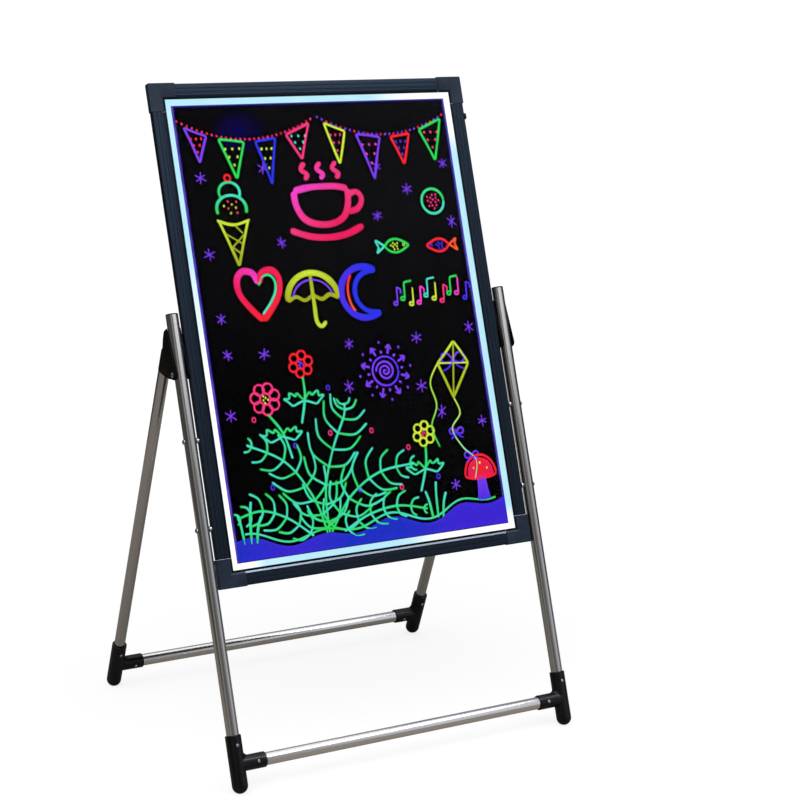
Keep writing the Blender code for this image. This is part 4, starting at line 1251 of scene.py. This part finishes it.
def flower(x, z, foot_x, size, petal, heart, petals=7):
    """A flower of round petals on a bent stem with two toothed leaves."""
    curve([(x, z - size), ((x + foot_x) / 2 + 6, z - size - 34), (foot_x, z - size - 78)], 4.4,
           "green", "aqua")
    for i in range(petals):
        angle = 2 * pi * i / petals + 0.3
        px, pz = x + size * 0.72 * cos(angle), z + size * 0.72 * sin(angle)
        stroke(oval(px, pz, size * 0.36, size * 0.36, angle), 4, petal)
    dots(seeds(x, z, size * 0.28, 5), 3.4, heart)
    for side in (1, -1):
        base = np.array([(x + foot_x) / 2 + 4, z - size - 40])
        teeth = [base, base + (side * 12, 14), base + (side * 15, 7), base + (side * 27, 15),
                 base + (side * 27, 5), base + (side * 38, 6), base + (side * 22, -8), base]
        corners(teeth, 3.8, "green", "aqua")


def meadow():
    """Fern fronds, grass and three flowers over the waves."""
    frond([(-92, -350), (-108, -290), (-150, -226), (-216, -190)], 8, 58, "green", "aqua")
    frond([(-88, -350), (-84, -280), (-60, -214), (-30, -160), (-26, -138)], 9, 62, "green", "aqua")
    frond([(-84, -350), (-40, -296), (20, -262), (92, -254)], 8, 58, "green", "aqua")
    frond([(-118, -352), (-160, -318), (-206, -300), (-252, -308)], 7, 42, "aqua", "green")
    frond([(-60, -352), (-10, -330), (48, -322), (104, -334)], 7, 38, "aqua", "green")
    flower(-170, -118, -136, 25, "rose", "lime")
    flower(-96, -66, -110, 21, "red", "violet", 6)
    flower(118, -206, 96, 20, "lime", "rose", 6)
    for x, tall, bend in ((-244, 52, -6), (-232, 70, 9), (-222, 44, 14), (112, 48, -8), (122, 62, 5),
                          (132, 42, 12)):
        curve([(x, -352), (x + bend * 0.4, -352 + tall * 0.6), (x + bend, -352 + tall)], 4.6,
               "green", "aqua")


def shore():
    """Waves along the lower edge, filled with blue and violet, and a mushroom on them."""
    half, tip, low = 259.5, 0.3, -377.0
    x = np.concatenate([[-half], np.linspace(tip - half, half - tip, 90), [half]])
    top = -352 + 7 * np.sin(x / 21) + 6 * np.sin(x / 47 + 1) + 22 / (1 + np.exp((150 - x) / 14))
    fade = np.clip((half - np.abs(x)) / tip, 0, 1)
    middle = (top + low) / 2
    filled(pairs(x, middle - (middle - low) * fade), pairs(x, middle + (top - middle) * fade),
           "deep", "dusk", "deep", "deep", "dusk", "dusk")
    stroke(pairs(x, top + 7)[4:-4], 3.6, "aqua", "green", "aqua", "green")
    x, z, inside = 219, -288, 0.86
    across = np.linspace(-1, 1, 30)
    brim, dome = (pairs(x + inside * 31 * across, z + inside * rise * np.sqrt(1 - across ** 2))
                  for rise in (-7, 34))
    stroke(oval(x, z, 31, 34, 0, pi), 4.4, "red")
    stroke(oval(x, z, 31, 7, pi, pi), 4.4, "red")
    filled(brim, dome, "crimson", "red", "crimson")
    dots([(206, -276), (220, -268), (233, -278)], 6, "lime")
    high, low = -290, -334
    stem = np.linspace(high, low, 20)
    swell = 9 + 5 * ((stem - high) / (low - high)) ** 2
    fade = np.minimum(np.minimum(high - stem, stem - low) / 2, 1)
    filled(pairs(x - swell * fade, stem), pairs(x + swell * fade, stem), "violet", "indigo")


def drawing():
    """The whole board: every stroke goes into one mesh, which glows in its own colours."""
    bunting()
    cup()
    ice_cream()
    thick_signs()
    fish(118, 122, 1.05, 1, "green", "lime", "aqua")
    fish(206, 118, 1.0, -1, "red", "indigo", "orange")
    stroke(oval(206, 196, 22, 22), 5, "green", "aqua")
    dots(seeds(206, 196, 14, 14), 3.4, "rose")
    notes()
    sun()
    kite()
    meadow()
    shore()
    for x, z in ((-228, 256), (-112, 268), (106, 262), (238, 262), (-232, 128), (-98, 140), (92, 176),
                 (158, 220), (238, 158), (-228, 20), (-226, -40), (-160, -44), (0, -40), (132, -40),
                 (240, -30), (-12, -112), (128, -124), (-236, -140), (238, -196), (160, -172), (166, -300)):
        spark(x, z, hand.uniform(19, 25))
    for i, (x, z) in enumerate(((-196, -150), (-52, -110), (18, -190), (-128, -200), (60, -292), (-20, -286),
                                (-60, -186), (-180, -264), (84, -226), (134, -282))):
        stroke(oval(x, z, 3.2, 4.2), 2.4, ("rose", "indigo")[i % 2])
    show("neon_drawing", mesh_of("neon_drawing", ink_grids, tints=ink_tints), ink, STAND,
         lambda p: on_board(moved(p, y=panel_front, z=mid_height)), sharp=60)


drawing()


# Camera at the photograph's place, as the perspective fitted to the photograph gives
picture_width = 800
photo_centre = 400
camera_azimuth = radians(-30.89)
camera_elevation = radians(13.79)
camera_roll = radians(1.48)
focal_pixels = 2052.8
centre_x_pixel = 420.17
centre_y_pixel = 412.59
camera_place = (-1.638, floor_y - 2.741, 1.377)
sensor = 36.0


def photo_camera():
    """Stand the camera where the photograph's was, its picture shifted as the photograph is cropped."""
    level = Vector((cos(camera_azimuth), sin(camera_azimuth), 0))
    flat = cos(camera_elevation)
    ahead = Vector((-sin(camera_azimuth) * flat, cos(camera_azimuth) * flat, -sin(camera_elevation)))
    up = level.cross(ahead)
    right = level * cos(camera_roll) + up * sin(camera_roll)
    top = up * cos(camera_roll) - level * sin(camera_roll)
    data = bpy.data.cameras.new("camera")
    data.sensor_width = sensor
    data.lens = focal_pixels / picture_width * sensor
    data.shift_x = (photo_centre - centre_x_pixel) / picture_width
    data.shift_y = (centre_y_pixel - photo_centre) / picture_width
    data.clip_start = 0.01
    made = in_scene("camera", data)
    turn = Matrix((right, top, -ahead)).transposed().to_4x4()
    turn.translation = Vector(camera_place)
    made.matrix_world = turn
    bpy.context.scene.camera = made


photo_camera()


# Studio: linear colours and light levels, the cards' levels by their angle in degrees from the camera's
# side, and the cards' heights in metres
floor_size = 30.0
floor_drop = 0.0004
floor_seen = (0.3, 0.3, 0.3, 1)
floor_bounce = (0.34, 0.31, 0.275, 1)
floor_own_white = 0.8
world_fill = 0.45
world_mirrored = 1.0
card_radius = 2.3
card_columns = 360
card_heights = (-0.3, 0.4, 0.8, 1.2, 1.55, 1.65, 1.75, 1.85, 1.95, 2.7, 2.75, 2.8, 3.2, 3.6, 4.0)
card_warm = np.array([1.03, 1.0, 0.95])
card_cool = np.array([0.95, 0.97, 1.06])
card_levels = ((-180, 0.25), (-156, 0.25), (-150, 0.03), (-130, 0.04), (-95, 0.08), (-60, 0.08),
               (-42, 0.05), (-34, 0.08), (-20, 0.34), (-8, 0.16), (14, 0.11), (26, 0.2), (46, 0.3),
               (58, 0.56), (84, 0.60), (92, 0.2), (106, 0.04), (144, 0.03), (150, 0.25), (180, 0.25))
white_above = 2.72
strip_light = 6.0


def studio_world():
    """White to the camera, brighter white in reflections, and a soft white fill on everything."""
    world = bpy.data.worlds.new("white_studio")
    world.use_nodes = True
    world.node_tree.nodes.clear()
    path = add(world, "LightPath")
    seen = reckon(world, "MAXIMUM", path.outputs["Is Camera Ray"], path.outputs["Is Transmission Ray"])
    shown = None
    for level, flag in ((world_fill, None), (world_mirrored, path.outputs["Is Glossy Ray"]), (1.0, seen)):
        light = add(world, "Background", {"Color": (1, 1, 1, 1), "Strength": level})
        if flag:
            light = add(world, "MixShader", links={0: flag, 1: shown.outputs[0], 2: light.outputs[0]})
        shown = light
    add(world, "OutputWorld", links={"Surface": shown.outputs[0]})
    bpy.context.scene.world = world


def studio_floor():
    """A pale floor. To the camera it adds enough white of its own to reach the background's white, so
    only the object's soft shadow shows on it."""
    mesh = bpy.data.meshes.new("floor")
    corner_signs = ((-1, -1), (1, -1), (1, 1), (-1, 1))
    mesh.from_pydata([(x * floor_size, y * floor_size, 0) for x, y in corner_signs], [], [(0, 1, 2, 3)])
    floor = in_scene("floor", mesh)
    made, shader = new_material("pale_studio_floor", {"Roughness": 1.0, "Specular IOR Level": 0.0,
                                                      "Emission Color": (1, 1, 1, 1)})
    camera_ray = add(made, "LightPath").outputs["Is Camera Ray"]
    feed(made, shader, "Base Color", mixed(made, floor_bounce, floor_seen, camera_ray))
    feed(made, shader, "Emission Strength", reckon(made, "MULTIPLY", camera_ray, floor_own_white))
    mesh.materials.append(made)
    floor.location.z = -floor_drop


def ramp(value, start, length):
    """Zero up to a start, then rising evenly to one over a length."""
    return np.clip((value - start) / length, 0, 1)


def reflection_cards():
    """A ring of pale and dark cards round the stand, seen only in its reflections: the light of each
    angle from the camera's side gives the tubes their highlights and dark edges. To the camera's right
    the ring turns white over a band of heights, and above a height it is white all round, for the upper
    sides of the crossbars, with a strip of stronger light."""
    angle = np.linspace(-180, 180, card_columns + 1)
    high = np.array(card_heights)[:, None]
    share = ramp(high, 1.55, 0.4) * ((angle > 10) & (angle < 85))
    share = np.where(high > white_above, 1, share)
    strip = ramp(high, 2.75, 0.05) * ramp(angle, 45, 10) * ramp(-angle, -110, 10)
    level = np.interp(angle, *np.array(card_levels).T)
    light = level * (1 - share) + world_mirrored * share + strip * strip_light
    turn = np.radians(angle) + camera_azimuth
    x, y = card_radius * np.sin(turn), -card_radius * np.cos(turn)
    wall = np.stack(np.broadcast_arrays(x, y, high), axis=-1)
    tint = np.ones((*light.shape, 4))
    cool = ramp(angle, 14, 30)[:, None]
    tint[..., :3] = light[..., None] * ((1 - cool) * card_warm + cool * card_cool)
    mesh = mesh_of("reflection_cards", [wall], tints=[tint])
    made, shader = new_material("studio_cards", {"Base Color": (0, 0, 0, 1), "Specular IOR Level": 0.0,
                                                 "Emission Strength": 1.0})
    level = add(made, "Attribute", {"attribute_name": "tint"})
    feed(made, shader, "Emission Color", level.outputs["Color"])
    mesh.materials.append(made)
    ring = in_scene("reflection_cards", mesh)
    ring.visible_camera = ring.visible_diffuse = ring.visible_shadow = False


def soft_sun(name, azimuth, elevation, strength, spread):
    """A far soft light: where it stands, as degrees from the board's front to its right and above the
    floor, its strength, and how wide it looks in degrees."""
    data = bpy.data.lights.new(name, "SUN")
    data.energy = strength
    data.angle = radians(spread)
    lamp = in_scene(name, data)
    lamp.rotation_euler = (radians(90 - elevation), 0, radians(azimuth))


studio_world()
studio_floor()
reflection_cards()
soft_sun("key_light", -50, 55, 0.9, 50)
soft_sun("fill_light", 40, 40, 0.45, 60)
bpy.context.scene.view_settings.view_transform = "Standard"
